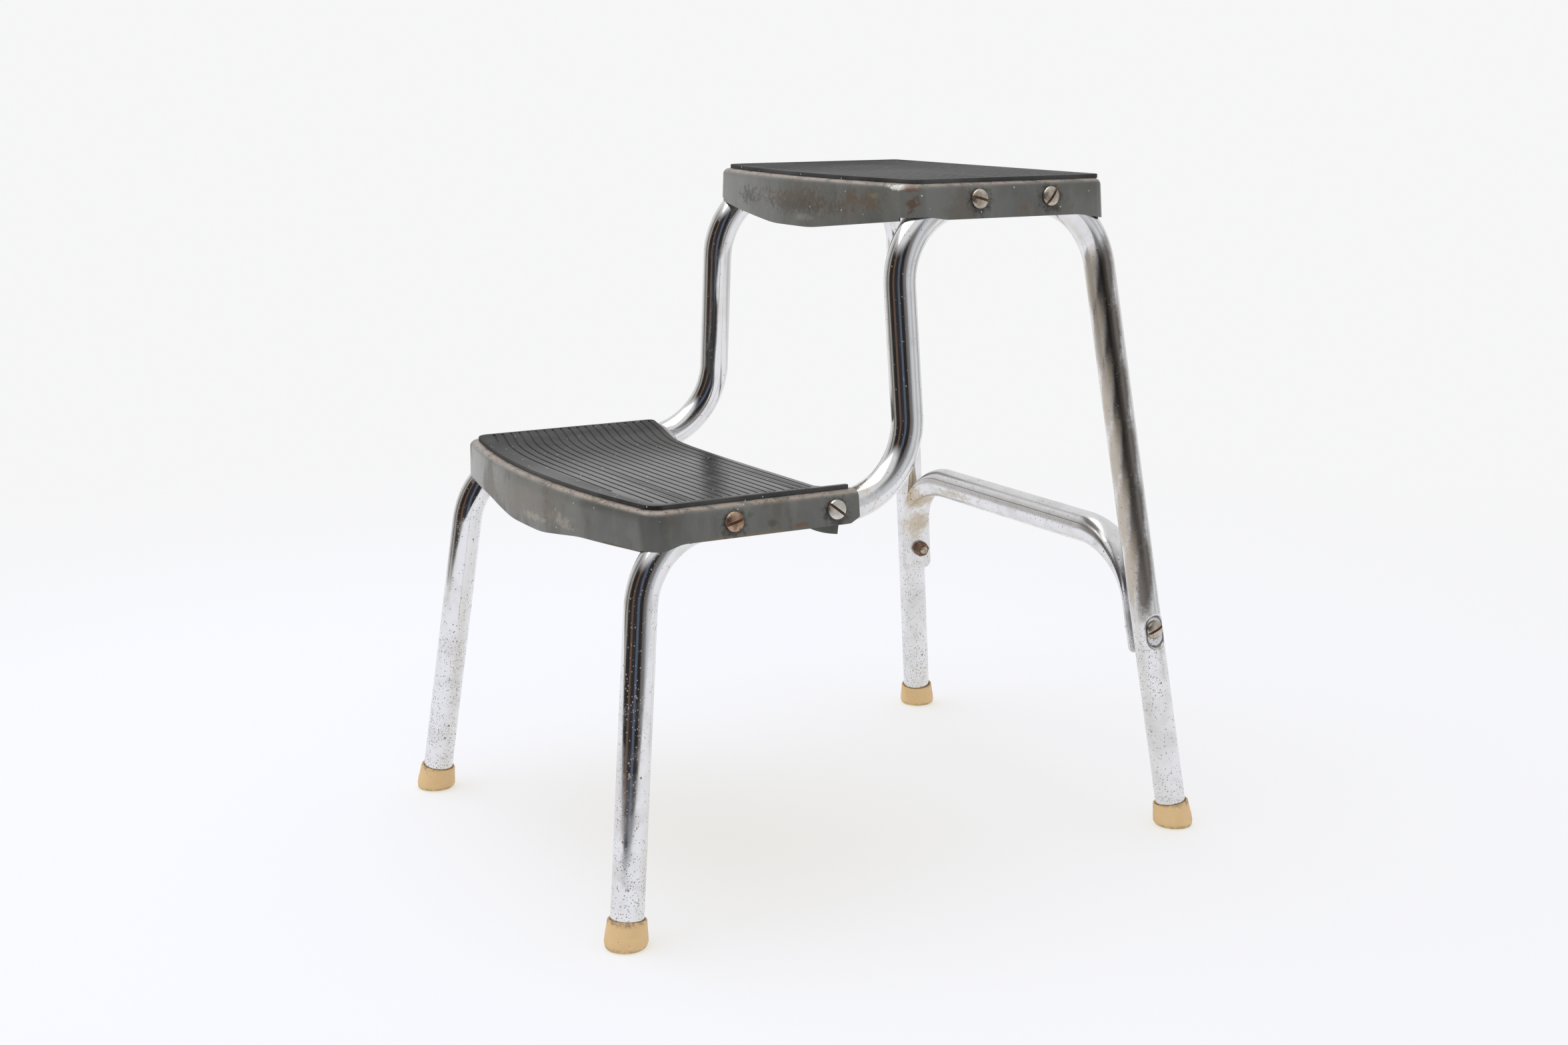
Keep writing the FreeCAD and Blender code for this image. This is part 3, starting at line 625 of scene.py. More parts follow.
def steelFinish(name, kind):
    material, tree, place, axes = newMaterial(name)
    v = steelValues
    colour, tarnish, rusty = v[kind]
    cloud = useGroup(tree, stains, place, scale=170.0, cover=0.45, softness=0.2)
    rust = useGroup(tree, stains, place, scale=240.0, cover=rusty, softness=0.1, grain=0.7, seed=2.0)
    return filledShader(material, {
        "Base Color": lay(tree, mixColour(tree, cloud, colour, tarnish), rust, 0.9, v["rust"]),
        "Roughness": mixValue(tree, rust, plus(tree, v["roughness"], times(tree, cloud, 0.1)), v["rustRoughness"]),
        "Metallic": minus(tree, 1.0, times(tree, rust, 0.8)),
    }, plus(tree, noiseOf(tree, place, 900.0, 4.0), rust), v["bump"])


# the frames' chrome, with painted reflection streaks on the rear legs
chrome = chromeFinish("chromed tube", chromeValues["marks"] + legReflectionStreaks(*chromeValues["legTanPatinaAndReflection"]),
                      legReflectionStreaks(*chromeValues["legDarkReflection"]), chromeValues["roughness"])
braceChrome = chromeFinish("chromed brace tube", chromeValues["braceMarks"], (), chromeValues["braceRoughness"], True)
enamel = enamelFinish("grey enamel")
blackRubber = blackRubberFinish("black rubber")
tanRubber = tanRubberFinish("tan rubber")
screwSteel = steelFinish("screw steel", "screw")
screwCopper = steelFinish("rusty screw steel", "rustyScrew")
screwPale = steelFinish("pale screw steel", "paleScrew")
slotShadeAndGrime = steelFinish("slot shade and grime", "slot")
nutSteel = steelFinish("nut steel", "nut")
print("finishes made")

# bent tubes of the side frames
frameValues = {
    "bend": 0.0565,
    "frontLean": 0.031,
    "riserFoot": 0.2337,
    "riserHead": 0.2314,
    "footSole": 0.005,
    "arcSteps": 28,
    "stationGap": 0.02,
    "sides": 120,
    # finer stations near the brace's screw
    "fineReach": 0.03,
    "fineSteps": 36,
    "braceScrewHeight": 0.1504,
    "dimpleLength": 0.0240,
    "dimpleWidth": 0.0156,
    "dimpleDepth": 0.0031,
    "dimpleDrop": 0.0015,
    "dimpleRim": 0.0008,
    # the dark line round the seat, dirt and painted shade in its crease: its place inside the outline and its width
    "seatRimShadeLine": (0.0007, 0.0008),
}
frontFoot = framePoint(0.0, 0.0)
rearFoot = framePoint(stool["depth"], 0.0)
frontKnee = framePoint(frameValues["frontLean"], stool["lowerRun"])
rearKnee = framePoint(stool["depth"] - stool["rearLean"], stool["upperRun"])
frontLegAxis = (frontKnee - frontFoot).normalized()
rearLegAxis = (rearKnee - rearFoot).normalized()
braceAxis = (Vector((1, 0, 0)) - rearLegAxis * rearLegAxis.x).normalized()
legAcross = rearLegAxis.cross(braceAxis).normalized()


def legPoint(z):
    return rearFoot + rearLegAxis * (z / rearLegAxis.z)


braceScrewPoint = legPoint(frameValues["braceScrewHeight"])


def bentPath(points, radius, steps):
    # stations along straight runs joined by arcs, as places and directions
    stations = [(points[0], (points[1] - points[0]).normalized())]
    for before, corner, after in zip(points, points[1:], points[2:]):
        start = (corner - before).normalized()
        end = (after - corner).normalized()
        turn = start.angle(end)
        inward = (end - start * end.dot(start)).normalized()
        centre = corner - start * (radius * math.tan(turn / 2)) + inward * radius
        for i in range(steps + 1):
            angle = turn * i / steps
            ray = start * math.sin(angle) - inward * math.cos(angle)
            stations.append((centre + ray * radius, start * math.cos(angle) + inward * math.sin(angle)))
    stations.append((points[-1], (points[-1] - points[-2]).normalized()))
    return stations


def filledIn(stations, gap):
    # more stations on the long straight runs
    full = [stations[0]]
    for (a, da), (b, db) in zip(stations, stations[1:]):
        count = max(1, int((b - a).length / gap))
        for i in range(1, count + 1):
            full.append((a.lerp(b, i / count), da.lerp(db, i / count).normalized()))
    return full


def dimpleOffsets(point):
    # how far a point lies outside the oval seat's outline, and how far out from the leg's axis
    v = frameValues
    offset = point - braceScrewPoint
    lengthways = offset.dot(rearLegAxis) + v["dimpleDrop"]
    over = max(abs(lengthways) - (v["dimpleLength"] - v["dimpleWidth"]) / 2, 0.0)
    return math.hypot(over, offset.dot(legAcross)) - v["dimpleWidth"] / 2, offset.dot(braceAxis)


def dimpled(point):
    # presses a point of the rear leg's outside into the oval seat
    v = frameValues
    outside, height = dimpleOffsets(point)
    floor = stool["tubeRadius"] - v["dimpleDepth"]
    if height < floor or outside > v["dimpleRim"]:
        return point
    lift = smooth((outside + v["dimpleRim"]) / (2 * v["dimpleRim"]))
    return point + braceAxis * ((height - floor) * (lift - 1.0))


def frameMesh():
    v = frameValues
    corners = [
        frontFoot + frontLegAxis * v["footSole"], frontKnee, framePoint(v["riserFoot"], stool["lowerRun"]),
        framePoint(v["riserHead"], stool["upperRun"]), rearKnee, rearFoot + rearLegAxis * v["footSole"],
    ]
    stations = filledIn(bentPath(corners, v["bend"], v["arcSteps"]), v["stationGap"])
    fine = []
    for (a, da), (b, db) in zip(stations, stations[1:]):
        along = abs((a.lerp(b, 0.5) - braceScrewPoint).dot(rearLegAxis))
        onRearLeg = a.y > 0.1 and a.z < 0.3
        count = v["fineSteps"] if along < v["fineReach"] and onRearLeg else 1
        fine += [(a.lerp(b, i / count), da) for i in range(count)]
    fine.append(stations[-1])
    points = [dimpled(point) for place, direction in fine
              for point in around(place, outward, direction.cross(outward), stool["tubeRadius"], v["sides"])]
    mesh = meshOf("side frame", points, ringFaces(len(fine), v["sides"]), 50)
    inset, width = v["seatRimShadeLine"]
    offsets = [dimpleOffsets(point) for point in points]
    # where the seat's dark line of dirt and painted shade lies
    setLevels(mesh, "rim", [math.exp(-((outside + inset) / width) ** 2) if height > 0.004 else 0.0
                            for outside, height in offsets])
    return mesh


addPair("sideFrame", frameMesh(), (chrome,), (chrome,), "chromed_tube", "side_frame")
print("side frames made")

# rear brace: a tube whose flattened ends hang down along the rear legs
braceValues = {
    "radius": 0.0119,
    "height": 0.2167,
    "bend": 0.05,
    "strapHalfWidth": 0.0138,
    "strapHalfThick": 0.0015,
    "cornerRadius": 0.005,
    "belowScrew": 0.019,
    # how far back the straps sit, on the right and on the left
    "strapShift": (0.004, -0.003),
    "straightGaps": (0.03, 0.02, 0.01),
    "cornerShares": (1.0, 0.8, 0.6, 0.4, 0.2, 0.08, 0.0),
    "barSteps": 9,
    "bendSteps": 40,
    "sides": 72,
}


def braceMesh():
    v = braceValues
    across = Vector((1.0, 0.0, 0.0))
    down = rearLegAxis * -1
    turn = across.angle(down)
    corner = legPoint(v["height"]) - braceAxis * (stool["tubeRadius"] + v["strapHalfThick"])
    barEnd = corner - across * (v["bend"] * math.tan(turn / 2))
    inward = (down - across * down.dot(across)).normalized()
    wide = across.cross(down).normalized()
    strapStart = barEnd + inward * v["bend"] + braceAxis * v["bend"]
    strapLength = (strapStart - braceScrewPoint).dot(rearLegAxis) + v["belowScrew"]

    def section(centre, thin, ease, narrowed=0.0):
        halfThin = v["radius"] + (v["strapHalfThick"] - v["radius"]) * ease
        halfWide = v["radius"] + (v["strapHalfWidth"] - v["radius"]) * ease - narrowed
        power = 2.0 / (2.0 + 3.0 * ease)
        ring = []
        for i in range(v["sides"]):
            angle = 2 * math.pi * i / v["sides"]
            c, s = math.cos(angle), math.sin(angle)
            ring.append(centre + thin * math.copysign(abs(c) ** power, c) * halfThin
                        + wide * math.copysign(abs(s) ** power, s) * halfWide)
        return ring

    def halfRings(shift):
        rings = []
        for i in range(v["barSteps"]):
            rings.append(section(Vector((barEnd.x * i / v["barSteps"], barEnd.y, barEnd.z)), -inward, 0.0))
        for i in range(v["bendSteps"] + 1):
            share = i / v["bendSteps"]
            angle = turn * share
            radial = across * math.sin(angle) - inward * math.cos(angle)
            centre = barEnd + inward * v["bend"] + radial * v["bend"] + wide * (shift * smooth(share))
            rings.append(section(centre, radial, smooth(share)))
        r = v["cornerRadius"]
        for gap in v["straightGaps"] + tuple(share * r for share in v["cornerShares"]):
            narrowed = r - math.sqrt(max(0.0, r * r - (r - gap) ** 2)) if gap < r else 0.0
            rings.append(section(strapStart + down * (strapLength - gap) + wide * shift, braceAxis, 1.0, narrowed))
        return rings

    right, left = (halfRings(shift) for shift in v["strapShift"])
    full = [[Vector((-p.x, p.y, p.z)) for p in ring] for ring in reversed(left[1:])] + right
    mesh = meshOf("rear brace", [p for ring in full for p in ring], ringFaces(len(full), v["sides"]), 40)
    angles = [2 * math.pi * i / v["sides"] for i in range(v["sides"])]
    setLevels(mesh, "turn", [angle if angle < math.pi else angle - 2 * math.pi for angle in angles] * len(full))
    return mesh


addPiece("rearBrace", braceMesh(), (braceChrome,), "chromed_tube", "rear_brace")
print("rear brace made")

# tread outlines
treadValues = {
    "roll": 0.0045,
    "rollSteps": 8,
    "rollStart": 0.0015,
    "skirtRows": 6,
    "bow": 0.656,
    "frontCorner": 0.017,
    "lowerFront": 0.0106,
    "hornBack": 0.1845,
    # the rear edge's places on the right and on the left, from the tab's end to the middle
    "rearPlaces": {
        1: ((0.1520, 0.1965), (0.1480, 0.1900), (0.1440, 0.1845), (0.1400, 0.1791), (0.1340, 0.1736),
            (0.1250, 0.1676), (0.1150, 0.1646), (0.1000, 0.1635), (0.0600, 0.1625), (0.0, 0.1615)),
        -1: ((0.1900, 0.2050), (0.1600, 0.1955), (0.1400, 0.1892), (0.1260, 0.1852), (0.1220, 0.1840),
             (0.1100, 0.1805), (0.0960, 0.1758), (0.0820, 0.1705), (0.0710, 0.1668), (0.0550, 0.1645),
             (0.0300, 0.1625), (0.0, 0.1615)),
    },
    "upperFront": 0.2224,
    "upperRear": 0.4002,
    "rearCorner": 0.010,
    "tongueDepth": 0.035,
    "tongueHalf": 0.026,
    "tongueRamp": 0.052,
    "shoulder": 0.0285,
    # depths of the skirts' lower edges and where they change, from the front to the back
    "frontEnd": 0.138,
    "cornerRise": 0.013,
    "lowerStart": 0.0258,
    "lowerEnd": 0.0265,
    "lowerSide": 0.0216,
    "lowerCornerDepth": 0.0252,
    "hornRise": (0.006, 0.001, 0.004),
    "upperStart": 0.0230,
    "upperEnd": 0.0236,
    "upperSide": 0.0242,
    "upperCornerDepth": 0.0218,
    "upperRearDepth": 0.0276,
    "upperRearRun": (0.024, 0.002),
    "rearFlange": 0.020,
    "rearTab": 0.033,
    "tabGap": 0.0008,
    "tabRamp": (0.052, 0.004),
    "hook": 0.004,
    "lip": 0.0004,
}


def skirtX(z, inset):
    return planeX(z) + (stool["tubeRadius"] + stool["sheet"] - inset) / math.cos(stool["splay"])


def steps(count, a, b):
    return [a + (b - a) * i / count for i in range(count + 1)]


def inRow(places):
    # places given as x and the distance behind the front feet
    return [(x, stool["frontY"] + back) for x, back in places]


def frontHalf(halfWidth, inset, front, corner):
    # right half of the bowed front edge, its corner and the start of the side
    frontY = stool["frontY"] + front + inset
    radius = treadValues["bow"] - inset
    corner = max(corner - inset, 0.0005)
    bowY = frontY + radius
    cx = halfWidth - corner
    reach = radius - corner
    cy = bowY - math.sqrt(reach * reach - cx * cx)
    scale = radius / reach
    start = (cx * scale, bowY + (cy - bowY) * scale)
    bow = [(x, frontY + radius - math.sqrt(radius * radius - x * x)) for x in steps(48, 0.0, start[0])]
    first = math.atan2(start[1] - cy, start[0] - cx)
    turn = [(cx + corner * math.cos(a), cy + corner * math.sin(a)) for a in steps(14, first, 0.0)]
    return bow, turn, cy


def evenly(line, count):
    # the same line with evenly spaced points
    lengths = [0.0]
    for a, b in zip(line, line[1:]):
        lengths.append(lengths[-1] + math.hypot(b[0] - a[0], b[1] - a[1]))
    made = []
    k = 0
    for i in range(count + 1):
        goal = lengths[-1] * i / count
        while k < len(line) - 2 and lengths[k + 1] < goal:
            k += 1
        t = (goal - lengths[k]) / max(lengths[k + 1] - lengths[k], 1e-9)
        (x0, y0), (x1, y1) = line[k], line[k + 1]
        made.append((x0 + (x1 - x0) * t, y0 + (y1 - y0) * t))
    return made


def softened(line, passes):
    for _ in range(passes):
        middle = [((a[0] + 2 * b[0] + c[0]) / 4, (a[1] + 2 * b[1] + c[1]) / 4)
                  for a, b, c in zip(line, line[1:], line[2:])]
        line = [line[0]] + middle + [line[-1]]
    return line


def shifted(line, distance):
    # parallel line; a line that runs to -x moves to -y
    made = []
    for i, (x, y) in enumerate(line):
        a, b = line[max(i - 1, 0)], line[min(i + 1, len(line) - 1)]
        dx, dy = b[0] - a[0], b[1] - a[1]
        size = math.hypot(dx, dy)
        made.append((x - dy / size * distance, y + dx / size * distance))
    return made


def rearLine(side, inset, limitY, count=50):
    # the lower tread's rear edge on one side, moved inward and cut off at the tab's end
    line = shifted(softened(evenly(inRow(treadValues["rearPlaces"][side]), 160), 14), inset)
    for i, (a, b) in enumerate(zip(line, line[1:])):
        if a[1] > limitY >= b[1]:
            t = (a[1] - limitY) / (a[1] - b[1])
            line = [(a[0] + (b[0] - a[0]) * t, limitY)] + line[i + 1:]
            break
    line[-1] = (0.0, line[-1][1])
    return evenly(line, count)


def lowerHalf(halfWidth, inset, side):
    v = treadValues
    bow, turn, cy = frontHalf(halfWidth, inset, v["lowerFront"], v["frontCorner"])
    limitY = stool["frontY"] + v["hornBack"]
    flank = [(halfWidth, y) for y in steps(40, cy, limitY)]
    rear = rearLine(side, inset, limitY)
    horn = [(halfWidth + (rear[0][0] - halfWidth) * t, limitY) for t in steps(4, 0.0, 1.0)]
    return {"bow": bow, "turn": turn, "side": flank, "horn": horn, "rear": rear}


def upperHalf(halfWidth, inset, side, rearInset=None):
    v = treadValues
    bow, turn, cy = frontHalf(halfWidth, inset, v["upperFront"], v["frontCorner"])
    radius = max(v["rearCorner"] - inset, 0.0005)
    rearY = stool["frontY"] + v["upperRear"] - (inset if rearInset is None else rearInset)
    flank = [(halfWidth, y) for y in steps(40, cy, rearY - radius)]
    back = [(halfWidth - radius + radius * math.cos(a), rearY - radius + radius * math.sin(a))
            for a in steps(10, 0.0, math.pi / 2)]
    rear = [(x, rearY) for x in steps(30, halfWidth - radius, 0.0)]
    return {"bow": bow, "turn": turn, "side": flank, "back": back, "rear": rear}


def softLine(x, places, ease=0.005):
    # straight lines through places, rounded off near each one
    total = 0.0
    for k in range(-4, 5):
        at = x + ease * k / 4
        value = places[0][1] if at <= places[0][0] else places[-1][1]
        for (x0, y0), (x1, y1) in zip(places, places[1:]):
            if x0 < at <= x1:
                value = y0 + (y1 - y0) * (at - x0) / (x1 - x0)
        total += value
    return total / 9


def panMesh(name, half, topZ, depthOf, openParts):
    # outer sheet of a tread from its outline: top, rolled edge and skirts, then its thickness
    v = treadValues
    bm = bmesh.new()
    levels = [(topZ, v["roll"] + v["rollStart"])]
    for angle in steps(v["rollSteps"], 0.0, math.pi / 2):
        levels.append((topZ - v["roll"] * (1 - math.cos(angle)), v["roll"] * (1 - math.sin(angle))))
    deep = topZ - v["tongueDepth"]
    top = {}
    for sign in (1, -1):
        rows = [half(skirtX(z, edge), edge, sign) for z, edge in levels]
        lowRow = half(skirtX(deep, 0.0), 0.0, sign)
        top[sign] = rows[0]
        for part in rows[0]:
            if part in openParts:
                continue
            grid = [[bm.verts.new((sign * x, y, z)) for x, y in row[part]] for (z, edge), row in zip(levels, rows)]
            for share in steps(v["skirtRows"], 0.0, 1.0)[1:]:
                line = []
                for (x0, y0), (x1, y1) in zip(rows[-1][part], lowRow[part]):
                    drop = v["roll"] + (depthOf(part, x0, y0, sign) - v["roll"]) * share
                    t = (drop - v["roll"]) / (v["tongueDepth"] - v["roll"])
                    line.append(bm.verts.new((sign * (x0 + (x1 - x0) * t), y0 + (y1 - y0) * t, topZ - drop)))
                grid.append(line)
            for low, high in zip(grid, grid[1:]):
                for i in range(len(low) - 1):
                    corners = [low[i], high[i], high[i + 1], low[i + 1]]
                    bm.faces.new(corners if sign > 0 else corners[::-1])
    bm.faces.new([bm.verts.new((x, y, topZ)) for x, y in loopOf(top[1], top[-1])])
    mesh = bpy.data.meshes.new(name)
    mergeDoubles(bm, mesh, 0.00002)
    thick = linked(name, mesh)
    sheet = thick.modifiers.new("sheet", "SOLIDIFY")
    sheet.thickness = stool["sheet"]
    sheet.offset = -1.0
    sheet.use_even_offset = True
    made = evaluatedMesh(thick)
    bpy.data.objects.remove(thick)
    finishMesh(made, 40)
    return made


def chained(half):
    # the parts of a half outline as one line
    chain = []
    for part in half.values():
        for point in part:
            if not chain or abs(chain[-1][0] - point[0]) + abs(chain[-1][1] - point[1]) > 1e-6:
                chain.append(point)
    return chain


def loopOf(right, left):
    # both halves as one closed loop
    return chained(right) + [(-x, y) for x, y in reversed(chained(left)) if x > 1e-6]


def frontDepth(x, end, shoulder=()):
    v = treadValues
    places = [(v["tongueHalf"], v["tongueDepth"]), *shoulder, (v["frontEnd"], end)]
    return softLine(abs(x), places, 0.008)


def lowerDepth(part, x, y, sign):
    v = treadValues
    back = y - stool["frontY"]
    if part == "bow":
        return frontDepth(x, v["lowerEnd"], [(v["tongueHalf"] + v["tongueRamp"], v["shoulder"])])
    if part in ("turn", "side"):
        rise = v["lowerFront"] + v["frontCorner"] + stool["tubeRadius"]
        start, end, lift = v["hornRise"]
        return softLine(back, [
            (v["lowerFront"], v["lowerStart"]), (rise, v["lowerCornerDepth"]),
            (rise + v["cornerRise"], v["lowerSide"]), (v["hornBack"] - start, v["lowerSide"]),
            (v["hornBack"] - end, v["lowerSide"] - lift)], 0.002)
    tabHalf = planeX(stool["lowerRun"]) - stool["tubeRadius"] - v["tabGap"]
    if abs(x) > tabHalf + (v["hook"] if sign > 0 else 0.0):
        return stool["sheet"] + v["roll"] + v["lip"]
    start, end = v["tabRamp"]
    return softLine(abs(x), [(tabHalf - start, v["rearFlange"]), (tabHalf - end, v["rearTab"])])


def upperDepth(part, x, y, sign):
    v = treadValues
    back = y - stool["frontY"]
    if part == "bow":
        return frontDepth(x, v["upperEnd"])
    if part == "rear":
        return v["upperRearDepth"]
    rise = v["upperFront"] + v["frontCorner"] + stool["tubeRadius"]
    start, end = v["upperRearRun"]
    return softLine(back, [
        (v["upperFront"], v["upperStart"]), (rise, v["upperCornerDepth"]), (rise + v["cornerRise"], v["upperSide"]),
        (v["upperRear"] - start, v["upperSide"]), (v["upperRear"] - end, v["upperRearDepth"])])


lowerPan = panMesh("lower tread", lowerHalf, stool["lowerTop"], lowerDepth, ("horn",))
addPiece("lowerTread", lowerPan, (enamel,), "grey_enamel", "lower_tread")
upperPan = panMesh("upper tread", upperHalf, stool["upperTop"], upperDepth, ())
addPiece("upperTread", upperPan, (enamel,), "grey_enamel", "upper_tread")
print("treads made")

# ribbed mats
matValues = {
    "thick": 0.003,
    "bevel": 0.0006,
    "margin": 0.0064,
    "lowerSideMargin": 0.0075,
    "upperSideMargin": 0.0042,
    "upperRearMargin": 0.0028,
    "grooveDepth": 0.0008,
    "grooveTop": 0.0021,
    "grooveFloor": 0.0012,
    "grooveLift": 0.0005,
    "pitch": 0.0066,
    "border": 0.0100,
    "sideBorder": 0.0042,
    # the lower mat's grooves follow its rear edge, the upper one's its front edge till they are straight
    "lowerFirst": 0.0052,
    "lowerGrooves": 24,
    "shortest": 0.02,
    "upperGrooves": 26,
    "upperLast": 0.006,
    "upperStraight": 12,
    "flankBack": 0.150,
    "corner": 0.004,
    "cornerPlaces": ((0.0022, 0.0002), (0.0007, 0.0014), (0.0, 0.0034)),
    # the lower mat's rear edge from its right end to its left end
    "rearPlaces": ((0.1500, 0.1597), (0.1445, 0.1598), (0.1380, 0.1594), (0.1080, 0.1584), (0.0600, 0.1566),
                   (0.0, 0.1553), (-0.0260, 0.1554), (-0.0450, 0.1564), (-0.0600, 0.1582), (-0.0720, 0.1605),
                   (-0.0860, 0.1648), (-0.1100, 0.1720), (-0.1370, 0.1795), (-0.1540, 0.1838)),
    # the strip of mat on the right horn: its width, the gap behind it, the curve into it and its corners
    "hornStrip": (0.0042, 0.003, 0.003, 0.001),
}


def matPlate(name, topZ, outlineAt):
    v = matValues
    levels = [(0.0, 0.0), (v["thick"] - v["bevel"], 0.0), (v["thick"] - 0.3 * v["bevel"], 0.3 * v["bevel"]),
              (v["thick"], v["bevel"])]
    rings = [outlineAt(edge) for rise, edge in levels]
    size = min(len(ring) for ring in rings)
    points = [(x, y, topZ + rise) for (rise, edge), ring in zip(levels, rings) for x, y in ring[:size]]
    return meshOf(name, points, ringFaces(len(levels), size), 30)


def grooveTool(lines, topZ):
    # trapezoid bars along polylines given as lists of (x, y)
    v = matValues
    gaps = (-v["grooveTop"], -v["grooveFloor"], v["grooveFloor"], v["grooveTop"])
    rises = (v["grooveLift"], -v["grooveDepth"], -v["grooveDepth"], v["grooveLift"])
    points, faces = [], []
    for line in lines:
        start = len(points)
        edges = [shifted(line, gap / 2) for gap in gaps]
        for row in zip(*edges):
            points += [(x, y, topZ + v["thick"] + rise) for (x, y), rise in zip(row, rises)]
        faces += ringFaces(len(line), 4, True, start)
    return meshOf("grooves", points, faces)


def kept(line, reach, frontOf):
    # the longest stretch of a groove that stays inside the mat's borders
    runs, run = [], []
    for x, y in line:
        if abs(x) < reach and y > frontOf(x):
            run.append((x, y))
        elif run:
            runs.append(run)
            run = []
    runs.append(run)
    return max(runs, key=len)


def lowerMatMesh():
    v = matValues
    t = treadValues
    width = skirtX(stool["lowerTop"], 0.0) - v["lowerSideMargin"]
    rear = softened(evenly(inRow(v["rearPlaces"]), 240), 30)
    strip, behind, curve, cut = v["hornStrip"]

    def outlineAt(edge):
        side = width - edge
        bow, turn, cy = frontHalf(side, v["margin"] + edge, t["lowerFront"], t["frontCorner"])
        flank = [(side, y) for y in steps(30, cy, stool["frontY"] + v["flankBack"])]
        half = chained({"bow": bow, "turn": turn, "side": flank})
        stripIn = width - strip + edge
        stripEnd = stool["frontY"] + t["hornBack"] - behind - edge
        middle = [(x, y) for x, y in shifted(rear, edge) if stripIn - curve > x > -(side - v["corner"])]
        horn = [(side, stripEnd - cut), (side - cut, stripEnd), (stripIn + cut, stripEnd), (stripIn, stripEnd - cut),
                (stripIn, middle[0][1] + curve), (stripIn - cut, middle[0][1] + cut)]
        corner = [(-side + dx, middle[-1][1] - dy) for dx, dy in v["cornerPlaces"]]
        return half + horn + middle + corner + [(-x, y) for x, y in reversed(half) if x > 1e-6]

    mesh = matPlate("lower mat", stool["lowerTop"], outlineAt)
    front = stool["frontY"] + t["lowerFront"] + v["margin"] + v["border"]
    lines = []
    for n in range(v["lowerGrooves"]):
        line = kept(shifted(rear, v["lowerFirst"] + n * v["pitch"]), width - v["sideBorder"],
                    lambda x: front + x * x / (2 * t["bow"]))
        if len(line) > 3 and abs(line[0][0] - line[-1][0]) > v["shortest"]:
            lines.append(evenly(line, 90))
    return cutMesh(mesh, grooveTool(lines, stool["lowerTop"]))


def upperMatMesh():
    v = matValues
    t = treadValues
    width = skirtX(stool["upperTop"], 0.0) - v["upperSideMargin"]

    def outlineAt(edge):
        half = upperHalf(width - edge, v["margin"] + edge, 1, v["upperRearMargin"] + edge)
        return loopOf(half, half)

    mesh = matPlate("upper mat", stool["upperTop"], outlineAt)
    reach = width - v["sideBorder"]
    last = t["upperRear"] - v["upperRearMargin"] - v["upperLast"]
    lines = []
    for n in range(v["upperGrooves"]):
        back = t["upperFront"] + v["margin"] + v["border"] + n * v["pitch"]
        bend = max(0.0, 1 - n / v["upperStraight"]) / (2 * t["bow"])
        if back <= last:
            lines.append(inRow((x, back + x * x * bend) for x in steps(60, reach, -reach)))
    return cutMesh(mesh, grooveTool(lines, stool["upperTop"]))


for name, mesh, node in (("lowerMat", lowerMatMesh(), "lower_mat"), ("upperMat", upperMatMesh(), "upper_mat")):
    finishMesh(mesh, 25)
    addPiece(name, mesh, (blackRubber,), "black_rubber", node)
print("mats made")


def latheMesh(name, seat, axis, reference, profile, sides, sharpAngle=35):
    # profile of (height, radius) turned round an axis; radius 0 closes an end
    side = axis.cross(reference).normalized()
    points = [point for rise, radius in profile for point in around(seat + axis * rise, reference, side, radius, sides)]
    mesh = meshOf(name, points, ringFaces(len(profile), sides), sharpAngle)
    bm = bmesh.new()
    bm.from_mesh(mesh)
    mergeDoubles(bm, mesh, 0.000001)
    finishMesh(mesh, sharpAngle)
    return mesh


# screws and nuts
screwValues = {
    "headRadius": 0.0068,
    "rim": 0.0010,
    "height": 0.0034,
    "shankRadius": 0.003175,
    "slotWidth": 0.0018,
    "slotDepth": 0.0016,
    "slotReach": 0.008,
    "headEdge": 0.0003,
    # the worn head's heights and radii as shares
    "flatHead": ((0.55, 0.985), (0.72, 0.93), (0.8, 0.80), (0.84, 0.4)),
    "nutAcross": 0.0111,
    "nutHeight": 0.005,
    "nutFlat": 0.96,
    "nutChamfer": 28.0,
    "nutSides": 72,
    "end": 0.0025,
    "tip": 0.0007,
    "tipRadius": 0.72,
    "thread": 0.00127,
    "threadRoot": 0.86,
    # the slots' angles, in the order of the treads' screws
    "turns": (15.0, -38.0, -15.0, 50.0),
    "braceTurn": 15.0,
}


